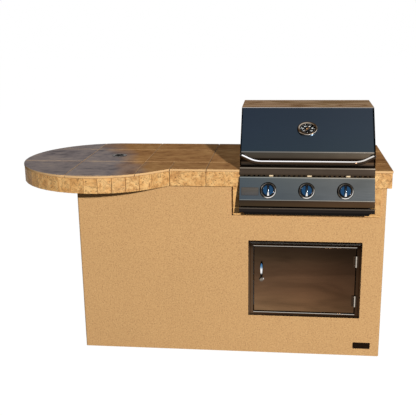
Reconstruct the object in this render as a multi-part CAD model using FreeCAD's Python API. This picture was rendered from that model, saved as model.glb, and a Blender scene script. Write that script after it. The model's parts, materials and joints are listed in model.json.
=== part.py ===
import FreeCAD, Part
import math
import os

from FreeCAD import Vector

# Outdoor kitchen island, in millimetres.
# X runs along the counter to the right, Y to the rear and Z up.
# The origin is on the floor, under the centre of the counter's outline.

# Counter outline
counter_height = 914.0
counter_length = 1750.0
round_diameter = 810.0
straight_depth = 642.0
tangent_angle = 48.0

# Base and its overhangs
base_left_of_round = 105.0
overhang = 20.0
rear_overhang = 45.0
base_corner_radius = 8.0
floor_gap = 4.0
stucco_thickness = 6.0
board_thickness = 12.5
deck_layers = 2

# Steel frame
track_width = 41.0
track_flange = 25.0
stud_flange = 32.0
stud_lip = 8.0
frame_sheet = 1.2
front_stud_offsets = [275.0, 515.0]
rear_stud_offsets = [275.0, 555.0, 835.0, 1115.0]

# Tiles
tile_thickness = 10.0
tile_pitch = 308.0
tile_joint = 3.0
grid_right_of_round = 510.7
grid_behind_front = 158.6
tile_lip = 1.5
edge_tile_height = 69.0
edge_joint = 2.0
edge_band_height = 80.0
curve_tile_count = 25
front_tile_count = 2
side_tile_count = 4
rear_tile_count = 8
grout_recess = 1.5
edge_strip_thickness = 20.0
strip_sector_count = 5
strip_short_of_band = 2.0

# Parasol sleeve
pole_right_of_round = 41.5
pole_behind_round = 61.6
pole_hole_radius = 22.5
sleeve_wall = 3.0
sleeve_clearance = 2.0
sleeve_length = 150.0
sleeve_flange_radius = 36.5
sleeve_flange_thickness = 2.5

# Grill bay
counter_right_of_bay = 92.5
cut_out_lap = 12.5
cut_out_depth = 420.0
cut_out_height = 204.0
leg_width = 45.0
ledge_reach = 47.0

# Access door
door_centre_z = 385.0
door_frame_inset = 38.0
door_frame_height = 376.0
door_flange_width = 24.0
door_flange_proud = 5.0
door_lip = 7.0
door_bevel = 5.0
door_sheet = 1.5
door_sleeve_depth = 68.0
door_gap = 3.0
door_rough_gap = 1.0
door_thickness = 18.0
door_set_back = 1.5
door_edge_radius = 3.0
door_return = 12.0
hinge_pin_radius = 2.5
hinge_barrel_radius = 4.5
hinge_length = 54.0
hinge_offset = 98.0
hinge_leaf_width = 13.0
hinge_leaf_sheet = 1.5
hinge_gap = 0.5
latch_inset = 35.0
latch_rosette_radius = 11.0
latch_rosette_thickness = 3.0
latch_lever_length = 84.0
latch_lever_lift = 11.0
latch_lean = 2.7
latch_hub_radius = 8.0
latch_neck_radius = 3.5
latch_tip_radius = 7.0
latch_belly_height = 58.8
latch_shoulder_radius = 5.8
latch_shoulder_height = 75.0
latch_crown_radius = 2.5
latch_shaft_radius = 4.0
latch_boss_wall = 4.0
latch_cam_length = 34.0
latch_cam_width = 14.0
latch_cam_sheet = 2.0
latch_tab_reach = 12.0
running_clearance = 0.05
seat_clearance = 0.3

# Grill front, as a side profile
grill_width = 600.0
grill_sheet = 1.5
rim_height = 19.0
rim_reach = 14.0
hood_gap = 3.0
hood_stand_out = 3.0
band_height = 59.0
band_lean = 13.0
facet_height = 181.0
facet_depth = 137.0
crown_depth = 236.0
crown_rise = 6.0
rear_facet_height = 197.0
rear_facet_depth = 34.0
hood_bend_radius = 5.0
hinge_rise = 41.0
hinge_from_edge = 402.4
hood_hinge_radius = 4.0
hood_lug_radius = 19.0
hinge_plate_sheet = 3.0
hinge_plate_gap = 1.0
hinge_plate_front = 12.0
hinge_plate_rear = 10.0
hinge_pin_reach = 5.0
cap_inset = 1.0
hood_liner_gap = 12.0
hood_liner_rise = 6.0
rail_stand_out = 9.0
rail_height = 40.0
rail_lean = 5.0
rail_shoulder = 5.0
vent_gap = 10.0
vent_recess = 8.0
vent_slot_count = 26
vent_side_margin = 8.0
vent_slot_width = 12.0
vent_slot_height = 6.0
panel_stand_out = 10.0
panel_height = 97.0
panel_slope_depth = 38.0
lip_height = 30.0
lip_lean = 5.0
lip_return = 28.0

# Hood handle
handle_radius = 10.0
handle_stand_off = 66.0
handle_end_inset = 12.0
handle_sweep = 62.0
handle_bend_radius = 70.0
handle_foot_radius = 12.5
handle_foot_length = 13.0
handle_foot_up = 40.0
handle_end_gap = 10.0
handle_drop = 16.0

# Cutting blocks reach this far past what they cut
cut_margin = 10.0

# Thermometer
gauge_width = 92.0
gauge_height = 70.0
gauge_end_radius = 26.0
gauge_bezel_depth = 12.0
gauge_bezel_band = 7.0
gauge_bevel = 2.5
gauge_floor = 2.0
needle_seat = 1.0
gauge_dial_thickness = 1.5
gauge_lens_thickness = 2.0
gauge_lens_gap = 5.0
gauge_stem_radius = 4.0
gauge_stem_length = 70.0
gauge_hole_clearance = 0.5
liner_hole_clearance = 1.5
gauge_up_facet = 115.0
needle_length = 24.0
needle_tail = 8.0
needle_width = 3.0
needle_tip_width = 0.9
needle_thickness = 0.8
needle_hub_radius = 4.0
needle_hub_height = 2.0
needle_rest_angle = 135.0
needle_bore = 1.55

# Knobs and gas valves
burner_pitch = 171.0
knob_radius = 28.0
knob_skirt = 8.0
knob_bevel = 2.5
knob_bore_depth = 1.0
knob_grip_width = 14.0
knob_grip_height = 22.0
knob_grip_end_height = 10.5
knob_grip_bevel = 2.5
knob_grip_inset = 1.5
knob_lift = 4.0
knob_down_panel = 60.0
knob_travel = 3.0
bezel_radius = 38.0
bezel_bore = 29.5
bezel_height = 9.0
bezel_flare = 4.0
stem_radius = 3.0
stem_depth = 26.0
stem_hole_clearance = 2.0
valve_radius = 11.0
valve_depth = 42.0
valve_cavity_radius = 8.0
valve_cavity_start = 8.0
valve_cavity_length = 11.0
valve_inlet_width = 16.0
valve_inlet_share = 0.6
valve_saddle = 20.0
spud_gap = 8.0
spud_web_front = 6.0
spud_web_rear = 10.0
plunger_thickness = 5.0
plunger_gap = 1.0
light_offset_x = 12.0
light_width = 18.0
light_height = 6.0
light_depth = 9.0

# Burners, firebox and gas train
shell_side_gap = 4.5
shell_bottom_gap = 4.0
liner_side_inset = 37.0
liner_front_inset = 51.0
liner_rear_inset = 23.0
liner_floor_rise = 47.0
liner_drain_length = 390.0
liner_drain_depth = 200.0
burner_drop = 114.0
burner_radius = 12.5
burner_collar_radius = 15.0
burner_collar_length = 18.0
burner_clearance = 0.1
burner_wall = 1.5
tamer_drop = 74.0
tamer_width = 110.0
tamer_height = 28.0
tamer_edge = 3.0
grate_drop = 9.0
grate_rod_radius = 4.0
grate_count = 3
grate_rods = 10
grate_gap = 2.5
grate_bar = 5.0
grate_end_gap = 1.0
ledge_strip = 12.0
rear_ledge_strip = 28.0
ledge_strip_sheet = 2.0
rack_height_above_grate = 115.0
rack_depth = 110.0
rack_rail_radius = 3.0
rack_wire_radius = 2.5
rack_wire_count = 12
rack_side_gap = 20.0
rack_wire_inset = 8.0
rack_rear_gap = 5.0
manifold_radius = 10.5
manifold_up = 72.0
manifold_behind_edge = 6.0
manifold_inset = 60.0
manifold_end = 3.0
feed_tube_radius = 4.75
feed_hole_clearance = 2.0
elbow_wall = 3.0
spud_radius = 4.0

# Drip tray
tray_front_height = 21.0
tray_front_stand_out = 61.0
tray_front_depth = 14.0
tray_sheet = 1.2
tray_floor_rise = 8.8
tray_length = 430.0
tray_depth = 22.0
tray_edge_radius = 1.0
tray_below_lip = 3.0
runner_front_gap = 3.0
tray_side_gap = 2.5
runner_leg = 20.0

# Gas inlet, valve and end vents
pipe_radius = 9.0
pipe_hole_clearance = 2.0
inlet_radius = 10.65
inlet_length = 22.0
inlet_flange_radius = 28.0
inlet_flange_thickness = 3.0
pipe_height = 125.0
gas_line_inside_bay = 15.5
gas_line_from_rear = 130.0
gas_valve_radius = 15.0
gas_valve_length = 60.0
gas_valve_hexagon = 18.0
gas_valve_hexagon_length = 16.0
gas_bonnet_radius = 8.0
gas_bonnet_length = 8.0
gas_lever_seat_depth = 6.0
gas_valve_centre_z = 300.0
gas_lever_length = 62.0
gas_lever_width = 16.0
gas_lever_sheet = 3.0
gas_lever_shaft_radius = 4.0
vent_panel_width = 300.0
vent_panel_height = 130.0
vent_panel_sheet = 1.5
vent_panel_lap = 15.0
vent_panel_centre_z = 230.0
louvre_count = 5
louvre_height = 9.0
louvre_depth = 6.0

# Brackets under the round end
bracket_reach = 200.0
bracket_drop = 150.0
bracket_width = 40.0
bracket_sheet = 5.0
bracket_offsets = [-161.5, 78.5]

# Places worked out from the sizes
right_x = counter_length / 2
left_x = -counter_length / 2
round_radius = round_diameter / 2
round_x = left_x + round_radius
rear_y = round_radius
front_y = rear_y - straight_depth

pole_hole_x = round_x + pole_right_of_round
pole_hole_y = pole_behind_round
grid_line_x = round_x + grid_right_of_round
grid_line_y = front_y + grid_behind_front

base_right = right_x - overhang
base_left = round_x - base_left_of_round
base_front = front_y + overhang
base_rear = rear_y - rear_overhang
base_middle_y = (base_front + base_rear) / 2

deck_thickness = deck_layers * board_thickness
deck_top = counter_height - tile_thickness
base_top = deck_top - deck_thickness
edge_inset = tile_lip + tile_thickness

board_skin = stucco_thickness + board_thickness
frame_left = base_left + board_skin
frame_right = base_right - board_skin
frame_front = base_front + board_skin
frame_rear = base_rear - board_skin

cut_out_width = grill_width - 2 * cut_out_lap
bay_right = right_x - counter_right_of_bay
bay_left = bay_right - cut_out_width
bay_centre_x = (bay_left + bay_right) / 2
gas_line_x = bay_right - gas_line_inside_bay
bay_rear = base_front + cut_out_depth
ledge_top = counter_height - cut_out_height
bay_sill = ledge_top - tile_thickness

door_frame_width = grill_width - 2 * door_frame_inset
door_left = bay_centre_x - door_frame_width / 2 + door_flange_width
door_right = bay_centre_x + door_frame_width / 2 - door_flange_width
door_bottom = door_centre_z - door_frame_height / 2 + door_flange_width
door_top = door_centre_z + door_frame_height / 2 - door_flange_width
rough_margin = door_sheet + door_rough_gap

grill_left = bay_centre_x - grill_width / 2
grill_right = bay_centre_x + grill_width / 2
rim_top = counter_height + rim_height
hood_bottom = rim_top + hood_gap
hood_front = front_y - hood_stand_out
hood_hinge_y = hood_front + hinge_from_edge
hood_hinge_z = counter_height + hinge_rise

liner_left = grill_left + liner_side_inset
liner_right = grill_right - liner_side_inset
liner_front = front_y + liner_front_inset
liner_rear = bay_rear - liner_rear_inset
liner_floor = ledge_top + liner_floor_rise
shell_left = bay_left + shell_side_gap
shell_right = bay_right - shell_side_gap
shell_rear = bay_rear - shell_side_gap
shell_bottom = ledge_top + shell_bottom_gap

burner_z = counter_height - burner_drop
tamer_z = counter_height - tamer_drop
grate_z = counter_height - grate_drop

rail_bottom_z = rim_top - rail_height
panel_top_z = rail_bottom_z - vent_gap
panel_top_y = front_y - panel_stand_out
panel_bottom_z = panel_top_z - panel_height
panel_bottom_y = panel_top_y - panel_slope_depth
lip_bottom_z = panel_bottom_z - lip_height
lip_bottom_y = panel_bottom_y - lip_lean
panel_back_y = front_y + tile_lip - seat_clearance
panel_tilt = math.degrees(math.atan2(panel_slope_depth, panel_height))
facet_tilt = math.degrees(math.atan2(facet_depth, facet_height))
burner_places = [bay_centre_x - burner_pitch, bay_centre_x, bay_centre_x + burner_pitch]
knob_names = ["left", "middle", "right"]


# Basic solids

def box(x0, x1, y0, y1, z0, z1):
    return Part.makeBox(x1 - x0, y1 - y0, z1 - z0, Vector(x0, y0, z0))


def cylinder(radius, start, end):
    start = Vector(*start)
    along = Vector(*end) - start
    return Part.makeCylinder(radius, along.Length, start, along)


def pipe_along(points, radius, bend_radius):
    """A round bar: straight runs, with a quarter or part of a ring at each inner point."""
    points = [Vector(*p) for p in points]
    shapes = []
    start = points[0]
    for before, corner, after in zip(points, points[1:], points[2:]):
        into = (corner - before).normalize()
        out = (after - corner).normalize()
        turn = into.getAngle(out)
        cut_back = bend_radius * math.tan(turn / 2)
        bend_start = corner - into * cut_back
        centre = corner + (out - into).normalize() * (bend_radius / math.cos(turn / 2))
        section = Part.Face(Part.Wire(Part.makeCircle(radius, bend_start, into)))
        shapes.append(cylinder(radius, start, bend_start))
        shapes.append(section.revolve(centre, into.cross(out), math.degrees(turn)))
        start = corner + out * cut_back
    shapes.append(cylinder(radius, start, points[-1]))
    return fuse(shapes)


def rod(radius, start, end):
    """A six-sided bar, flat at the top and bottom, for the many thin rods and wires."""
    start = Vector(*start)
    along = (Vector(*end) - start).normalize()
    side = along.cross(Vector(0, 0, 1))
    if side.Length < 0.5:
        side = Vector(1, 0, 0)
    up = side.normalize().cross(along)
    corners = []
    for index in range(6):
        angle = math.radians(60 * index)
        corners.append(start + side * (radius * math.cos(angle)) + up * (radius * math.sin(angle)))
    return Part.Face(Part.makePolygon(corners + corners[:1])).extrude(Vector(*end) - start)


def elbow(corner, radius):
    """A square forged elbow round the corner of two pipes."""
    x, y, z = corner
    reach = radius + elbow_wall
    return box(x - reach, x + reach, y - reach, y + reach, z - reach, z + reach)


def prism_x(points, x0, x1):
    """A solid from a (Y, Z) outline, carried along X."""
    corners = [Vector(x0, y, z) for y, z in points]
    face = Part.Face(Part.makePolygon(corners + corners[:1]))
    return face.extrude(Vector(x1 - x0, 0, 0))


def prism_y(points, y0, y1):
    """A solid from an (X, Z) outline, carried along Y."""
    corners = [Vector(x, y0, z) for x, z in points]
    face = Part.Face(Part.makePolygon(corners + corners[:1]))
    return face.extrude(Vector(0, y1 - y0, 0))


def prism_z(points, z0, z1):
    """A solid from an (X, Y) outline, carried along Z."""
    corners = [Vector(x, y, z0) for x, y in points]
    face = Part.Face(Part.makePolygon(corners + corners[:1]))
    return face.extrude(Vector(0, 0, z1 - z0))


def fuse(shapes):
    joined = shapes[0]
    if len(shapes) > 1:
        joined = joined.multiFuse(shapes[1:])
    return joined.removeSplitter()


def group(shapes):
    """Separate solids that share one sub-part."""
    solids = []
    for shape in shapes:
        solids.extend(shape.Solids)
    return Part.makeCompound(solids)


def offset_line(points, distance):
    """An open line of (a, b) points moved to the right of its travel."""
    directions = []
    for (a0, b0), (a1, b1) in zip(points, points[1:]):
        length = math.hypot(a1 - a0, b1 - b0)
        directions.append(((b1 - b0) / length, -(a1 - a0) / length))
    moved = []
    for index, (a, b) in enumerate(points):
        before = directions[max(index - 1, 0)]
        after = directions[min(index, len(directions) - 1)]
        share = 1 + before[0] * after[0] + before[1] * after[1]
        step_a = (before[0] + after[0]) / share * distance
        step_b = (before[1] + after[1]) / share * distance
        moved.append((a + step_a, b + step_b))
    return moved


def folded_sheet(points, sheet, x0, x1):
    """A sheet folded along X. Its thickness lies right of the line's travel."""
    inner = offset_line(points, sheet)
    return prism_x(points + inner[::-1], x0, x1)


def round_x_edges(shape, places, radius):
    """Fillet the edges that run along X through the given (Y, Z) places."""
    chosen = []
    for edge in shape.Edges:
        ends = [vertex.Point for vertex in edge.Vertexes]
        if len(ends) != 2 or abs(ends[0].x - ends[1].x) < 1:
            continue
        for y, z in places:
            near = [math.hypot(end.y - y, end.z - z) < 0.01 for end in ends]
            if all(near):
                chosen.append(edge)
    return shape.makeFillet(radius, chosen)


def stand_on_slope(shape, tilt, centre):
    """Turn a part made with +Z outwards onto a face that leans back by tilt."""
    shape.rotate(Vector(0, 0, 0), Vector(1, 0, 0), 90 - tilt)
    shape.translate(Vector(*centre))
    return shape


def oval(inset, z0, z1):
    """The thermometer's outline moved inwards: an oval of four arcs, wide along X, between two heights."""
    half_width = gauge_width / 2
    half_height = gauge_height / 2
    small = gauge_end_radius
    large = (half_width ** 2 + half_height ** 2 - 2 * half_width * small) / (2 * (half_height - small))
    end_centre = half_width - small
    side_centre = large - half_height
    reach = math.atan2(side_centre, end_centre)
    small -= inset
    large -= inset
    meet_x = end_centre + small * math.cos(reach)
    meet_y = small * math.sin(reach)
    right = Vector(end_centre + small, 0, z0)
    left = Vector(-end_centre - small, 0, z0)
    top = Vector(0, large - side_centre, z0)
    bottom = Vector(0, side_centre - large, z0)
    edges = [
        Part.Arc(Vector(meet_x, -meet_y, z0), right, Vector(meet_x, meet_y, z0)).toShape(),
        Part.Arc(Vector(meet_x, meet_y, z0), top, Vector(-meet_x, meet_y, z0)).toShape(),
        Part.Arc(Vector(-meet_x, meet_y, z0), left, Vector(-meet_x, -meet_y, z0)).toShape(),
        Part.Arc(Vector(-meet_x, -meet_y, z0), bottom, Vector(meet_x, -meet_y, z0)).toShape(),
    ]
    return Part.Face(Part.Wire(edges)).extrude(Vector(0, 0, z1 - z0))


# Counter

def kink_x(inset):
    """Where the round end's tangent meets the straight front edge."""
    radius = round_radius - inset
    turn = math.radians(tangent_angle)
    start_x = round_x + radius * math.cos(turn)
    start_y = -radius * math.sin(turn)
    run = (front_y + inset - start_y) / math.cos(turn)
    return start_x + run * math.sin(turn)


def counter_plan(inset, z0, z1):
    """The counter's outline moved inwards, as a solid between two heights."""
    radius = round_radius - inset
    turn = math.radians(tangent_angle)
    kink = Vector(kink_x(inset), front_y + inset, z0)
    front_right = Vector(right_x - inset, front_y + inset, z0)
    rear_right = Vector(right_x - inset, rear_y - inset, z0)
    arc_start = Vector(round_x, radius, z0)
    arc_middle = Vector(round_x - radius, 0, z0)
    arc_end = Vector(round_x + radius * math.cos(turn), -radius * math.sin(turn), z0)
    edges = [
        Part.LineSegment(kink, front_right).toShape(),
        Part.LineSegment(front_right, rear_right).toShape(),
        Part.LineSegment(rear_right, arc_start).toShape(),
        Part.Arc(arc_start, arc_middle, arc_end).toShape(),
        Part.LineSegment(arc_end, kink).toShape(),
    ]
    return Part.Face(Part.Wire(edges)).extrude(Vector(0, 0, z1 - z0))


def round_end_corners(inset):
    """Corners of the flats round the end, one flat for each edge tile, touching the inset outline."""
    step = math.radians(270.0 - tangent_angle) / curve_tile_count
    reach = (round_radius - inset) / math.cos(step / 2)
    corners = []
    for index in range(curve_tile_count + 1):
        angle = math.pi / 2 + step * index
        corners.append((round_x + reach * math.cos(angle), reach * math.sin(angle)))
    return corners


def tangent_point(inset):
    """Where the straight tangent leaves the round end."""
    turn = math.radians(tangent_angle)
    radius = round_radius - inset
    return round_x + radius * math.cos(turn), -radius * math.sin(turn)


def pole_hole(radius):
    below = counter_height - sleeve_length * 2
    above = counter_height + cut_margin
    return cylinder(radius, (pole_hole_x, pole_hole_y, below), (pole_hole_x, pole_hole_y, above))


def bay_cut(z0, z1):
    """The notch for the grill, open at the front."""
    return box(bay_left, bay_right, front_y - cut_margin, bay_rear, z0, z1)


def cut_into_strips(solid, x_lines):
    """Split a slab along X at the given lines."""
    limits = [left_x - cut_margin] + sorted(x_lines) + [right_x + cut_margin]
    low_z = solid.BoundBox.ZMin - cut_margin
    high_z = solid.BoundBox.ZMax + cut_margin
    strips = []
    for x0, x1 in zip(limits, limits[1:]):
        piece = solid.common(box(x0, x1, -round_radius - cut_margin, rear_y + cut_margin, low_z, high_z))
        if piece.Solids:
            strips.append(piece)
    return strips


def counter_deck():
    """Double cement board under the tiles, with the strips that carry the edge tiles."""
    inset = edge_inset
    front = front_y + inset
    side = right_x - inset
    rear = rear_y - inset
    corners = [(side, front), (side, rear), (round_x, rear)]
    corners += round_end_corners(inset)
    corners += [tangent_point(inset), (kink_x(inset), front)]
    slab = prism_z(corners, base_top, deck_top)
    slab = slab.cut(bay_cut(base_top - cut_margin, deck_top + cut_margin))
    slab = slab.cut(pole_hole(pole_hole_radius + sleeve_wall + sleeve_clearance))
    boards = cut_into_strips(slab, [kink_x(inset), bay_left, bay_right])
    return group(boards + edge_strips())


def edge_strips():
    """Strips that hang under the deck's edge, behind the edge tiles."""
    z0 = counter_height - edge_band_height + strip_short_of_band
    z1 = base_top
    front = front_y + edge_inset
    side = right_x - edge_inset
    rear = rear_y - edge_inset
    start = kink_x(edge_inset)
    strips = [
        box(start, bay_left, front, base_front, z0, z1),
        box(bay_right, side, front, base_front, z0, z1),
        box(base_right, side, base_front, rear - edge_strip_thickness, z0, z1),
        box(round_x, side, rear - edge_strip_thickness, rear, z0, z1),
    ]
    base = box(base_left, base_right, base_front, base_rear, z0, z1)
    outer = round_end_corners(edge_inset)
    inner = round_end_corners(edge_inset + edge_strip_thickness)
    flats = curve_tile_count // strip_sector_count
    for index in range(strip_sector_count):
        first = flats * index
        last = curve_tile_count if index == strip_sector_count - 1 else first + flats
        corners = outer[first:last + 1] + inner[first:last + 1][::-1]
        strips.append(prism_z(corners, z0, z1).cut(base))
    turn = math.radians(tangent_angle)
    inward_x = -math.cos(turn) * edge_strip_thickness
    inward_y = math.sin(turn) * edge_strip_thickness
    begin_x, begin_y = tangent_point(edge_inset)
    corners = [
        (begin_x, begin_y),
        (start, front),
        (start + inward_x, front + inward_y),
        (begin_x + inward_x, begin_y + inward_y),
    ]
    strips.append(prism_z(corners, z0, z1).cut(base))
    return strips


def grid_lines(start, low, high):
    """Grout lines at the tile pitch that fall between two limits."""
    first = math.ceil((low - start) / tile_pitch)
    lines = []
    place = start + first * tile_pitch
    while place < high:
        if place > low + tile_joint and place < high - tile_joint:
            lines.append(place)
        place += tile_pitch
    return lines


def tile_cells(x0, x1, y0, y1, x_lines, y_lines):
    """The clear rectangles between joints, each half a joint short of every limit."""
    cells = []
    xs = [x0] + x_lines + [x1]
    ys = [y0] + y_lines + [y1]
    half = tile_joint / 2
    for xa, xb in zip(xs, xs[1:]):
        for ya, yb in zip(ys, ys[1:]):
            cells.append((xa + half, xb - half, ya + half, yb - half))
    return cells


def top_tiles():
    """Large square tiles, cut to the outline and round the grill bay."""
    outline = counter_plan(0, deck_top, counter_height)
    outline = outline.cut(pole_hole(pole_hole_radius + sleeve_wall + sleeve_clearance))
    half = tile_joint / 2
    low_x = left_x - half
    high_x = right_x + half
    low_y = -round_radius - half
    high_y = rear_y + half
    left_x_lines = grid_lines(grid_line_x, low_x, bay_left)
    left_y_lines = grid_lines(grid_line_y, low_y, high_y)
    cells = tile_cells(low_x, bay_left + half, low_y, high_y, left_x_lines, left_y_lines)
    behind = grid_lines(grid_line_x, bay_left + tile_pitch / 4, bay_right)
    cells += tile_cells(bay_left + half, bay_right - half, bay_rear - half, high_y, behind, [])
    low_y = front_y - half
    right_y_lines = grid_lines(grid_line_y, low_y, high_y)
    cells += tile_cells(bay_right - half, high_x, low_y, high_y, [], right_y_lines)
    kink = kink_x(0)
    corner_cut = box(kink - half, kink + half, front_y - cut_margin, grid_line_y, deck_top, counter_height)
    tiles = []
    for x0, x1, y0, y1 in cells:
        tile = outline.common(box(x0, x1, y0, y1, deck_top, counter_height))
        if tile.Volume > tile_thickness ** 3:
            tiles.append(tile.cut(corner_cut))
    return group(tiles)


def top_grout(tiles):
    """Grout in the joints between the top tiles, a little below their faces."""
    slab = counter_plan(edge_inset, deck_top, counter_height - grout_recess)
    slab = slab.cut(bay_cut(deck_top - cut_margin, counter_height))
    slab = slab.cut(pole_hole(pole_hole_radius + sleeve_wall + sleeve_clearance))
    return group([slab.cut(tiles)])


def edge_tile(start, end):
    """One upright tile whose face runs from start to end, seen from above."""
    along = (end - start).normalize()
    outward = Vector(along.y, -along.x, 0)
    first = start + along * (edge_joint / 2)
    last = end - along * (edge_joint / 2)
    depth = outward * -tile_thickness
    corners = [first, last, last + depth, first + depth]
    face = Part.Face(Part.makePolygon(corners + corners[:1]))
    return face.extrude(Vector(0, 0, edge_tile_height))


def edge_tile_row(start, end, count):
    step = (end - start) / count
    return [edge_tile(start + step * index, start + step * (index + 1)) for index in range(count)]


def edge_tiles():
    """The upright tiles round the counter: wide on the straights, narrow on the curve."""
    z = counter_height - edge_band_height
    front = front_y + tile_lip
    side = right_x - tile_lip
    rear = rear_y - tile_lip
    kink = Vector(kink_x(tile_lip), front, z)
    tiles = edge_tile_row(kink, Vector(bay_left, front, z), front_tile_count)
    tiles += edge_tile_row(Vector(bay_right, front, z), Vector(side, front, z), 1)
    side_start = Vector(side, front + tile_thickness, z)
    tiles += edge_tile_row(side_start, Vector(side, rear, z), side_tile_count)
    rear_start = Vector(side - tile_thickness, rear, z)
    tiles += edge_tile_row(rear_start, Vector(round_x, rear, z), rear_tile_count)
    corners = [Vector(x, y, z) for x, y in round_end_corners(tile_lip)]
    for first, last in zip(corners, corners[1:]):
        tiles.append(edge_tile(first, last))
    tangent = Vector(*tangent_point(tile_lip), z)
    tiles.append(edge_tile(tangent, kink))
    return group(tiles)


def grill_surround():
    """Two tile legs and the ledge under the drip tray."""
    face = front_y + tile_lip
    leg_top = counter_height - edge_band_height - edge_joint / 2
    left = box(bay_left - leg_width, bay_left, face, base_front, ledge_top + edge_joint / 2, leg_top)
    right = box(bay_right, bay_right + leg_width, face, base_front, ledge_top + edge_joint / 2, leg_top)
    outer_left = bay_left - leg_width
    outer_right = bay_right + leg_width
    ledge_back = base_front + ledge_reach
    plan = [
        (outer_left, face),
        (outer_right, face),
        (outer_right, base_front),
        (bay_right, base_front),
        (bay_right, ledge_back),
        (bay_left, ledge_back),
        (bay_left, base_front),
        (outer_left, base_front),
    ]
    return group([left, right, prism_z(plan, bay_sill, ledge_top)])


def umbrella_sleeve():
    """A flanged tube through the round end for a parasol pole."""
    top = counter_height + sleeve_flange_thickness
    centre = (pole_hole_x, pole_hole_y)
    tube = cylinder(pole_hole_radius + sleeve_wall, (*centre, counter_height - sleeve_length), (*centre, top))
    flange = cylinder(sleeve_flange_radius, (*centre, counter_height), (*centre, top))
    body = tube.fuse(flange).cut(pole_hole(pole_hole_radius))
    across = 2 * sleeve_flange_radius - 1
    rim = [e for e in body.Edges if e.BoundBox.ZMin > top - 0.01 and e.BoundBox.XLength > across]
    return body.makeChamfer(sleeve_flange_thickness / 2, rim)


# Base walls

def door_rough(y0, y1):
    """The rough opening for the door's sleeve."""
    return box(
        door_left - rough_margin,
        door_right + rough_margin,
        y0,
        y1,
        door_bottom - rough_margin,
        door_top + rough_margin,
    )


def vent_rough(side):
    """The opening behind an end vent."""
    half_width = vent_panel_width / 2 - vent_panel_lap
    half_height = vent_panel_height / 2 - vent_panel_lap
    x0 = base_left - cut_margin if side < 0 else base_right - board_skin - cut_margin
    return box(
        x0,
        x0 + board_skin + 2 * cut_margin,
        base_middle_y - half_width,
        base_middle_y + half_width,
        vent_panel_centre_z - half_height,
        vent_panel_centre_z + half_height,
    )


def stucco_skin():
    """The stucco coat: four walls with softly rounded corners."""
    outer = box(base_left, base_right, base_front, base_rear, floor_gap, base_top)
    corners = [e for e in outer.Edges if e.BoundBox.ZLength > base_top / 2]
    outer = outer.makeFillet(base_corner_radius, corners)
    inset = stucco_thickness
    inner = box(
        base_left + inset,
        base_right - inset,
        base_front + inset,
        base_rear - inset,
        0,
        base_top + cut_margin,
    )
    skin = outer.cut(inner)
    outside = base_front - cut_margin
    bay = box(bay_left, bay_right, outside, base_front + inset, bay_sill, base_top + cut_margin)
    skin = skin.cut(bay)
    skin = skin.cut(door_rough(outside, base_front + inset))
    for side in (-1, 1):
        skin = skin.cut(vent_rough(side))
    return skin.cut(inlet_hole())


def inlet_hole():
    start = (gas_line_x, base_rear - board_skin - cut_margin, pipe_height)
    end = (gas_line_x, base_rear + cut_margin, pipe_height)
    return cylinder(pipe_radius + pipe_hole_clearance, start, end)


def front_boards():
    """Cement board cut in panels round the door and the grill bay."""
    y0 = base_front + stucco_thickness
    y1 = y0 + board_thickness
    left = base_left + stucco_thickness
    right = base_right - stucco_thickness
    rough = door_rough(y0, y1).BoundBox
    return group([
        box(left, bay_left, y0, y1, floor_gap, base_top),
        box(bay_left, bay_right, y0, y1, rough.ZMax, bay_sill),
        box(bay_left, rough.XMin, y0, y1, floor_gap, rough.ZMax),
        box(rough.XMax, bay_right, y0, y1, floor_gap, rough.ZMax),
        box(rough.XMin, rough.XMax, y0, y1, floor_gap, rough.ZMin),
        box(bay_right, right, y0, y1, floor_gap, base_top),
    ])


def end_boards():
    """Cement board of the two ends, in panels round each vent."""
    y0 = frame_front
    y1 = frame_rear
    panels = []
    for side in (-1, 1):
        x0 = base_left + stucco_thickness if side < 0 else base_right - board_skin
        x1 = x0 + board_thickness
        rough = vent_rough(side).BoundBox
        panels += [
            box(x0, x1, y0, rough.YMin, floor_gap, base_top),
            box(x0, x1, rough.YMax, y1, floor_gap, base_top),
            box(x0, x1, rough.YMin, rough.YMax, floor_gap, rough.ZMin),
            box(x0, x1, rough.YMin, rough.YMax, rough.ZMax, base_top),
        ]
    return group(panels)


def rear_board():
    """The rear wall's board, with a hole for the gas inlet."""
    y0 = base_rear - board_skin
    y1 = base_rear - stucco_thickness
    wall = box(base_left + stucco_thickness, base_right - stucco_thickness, y0, y1, floor_gap, base_top)
    return wall.cut(inlet_hole())


# Steel frame

def channel_x(x0, x1, y0, z, up):
    """A U track along X. Up is 1 with its flanges up, -1 with them down."""
    y1 = y0 + track_width
    z_end = z + up * track_flange
    outer = box(x0, x1, y0, y1, min(z, z_end), max(z, z_end))
    inner_start = z + up * frame_sheet
    inner_end = z + up * (track_flange + cut_margin)
    inner = box(
        x0 - cut_margin,
        x1 + cut_margin,
        y0 + frame_sheet,
        y1 - frame_sheet,
        min(inner_start, inner_end),
        max(inner_start, inner_end),
    )
    return outer.cut(inner)


def channel_y(x0, y0, y1, z, up):
    """A U track along Y, like channel_x."""
    x1 = x0 + track_width
    z_end = z + up * track_flange
    outer = box(x0, x1, y0, y1, min(z, z_end), max(z, z_end))
    inner_start = z + up * frame_sheet
    inner_end = z + up * (track_flange + cut_margin)
    inner = box(
        x0 + frame_sheet,
        x1 - frame_sheet,
        y0 - cut_margin,
        y1 + cut_margin,
        min(inner_start, inner_end),
        max(inner_start, inner_end),
    )
    return outer.cut(inner)


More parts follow.
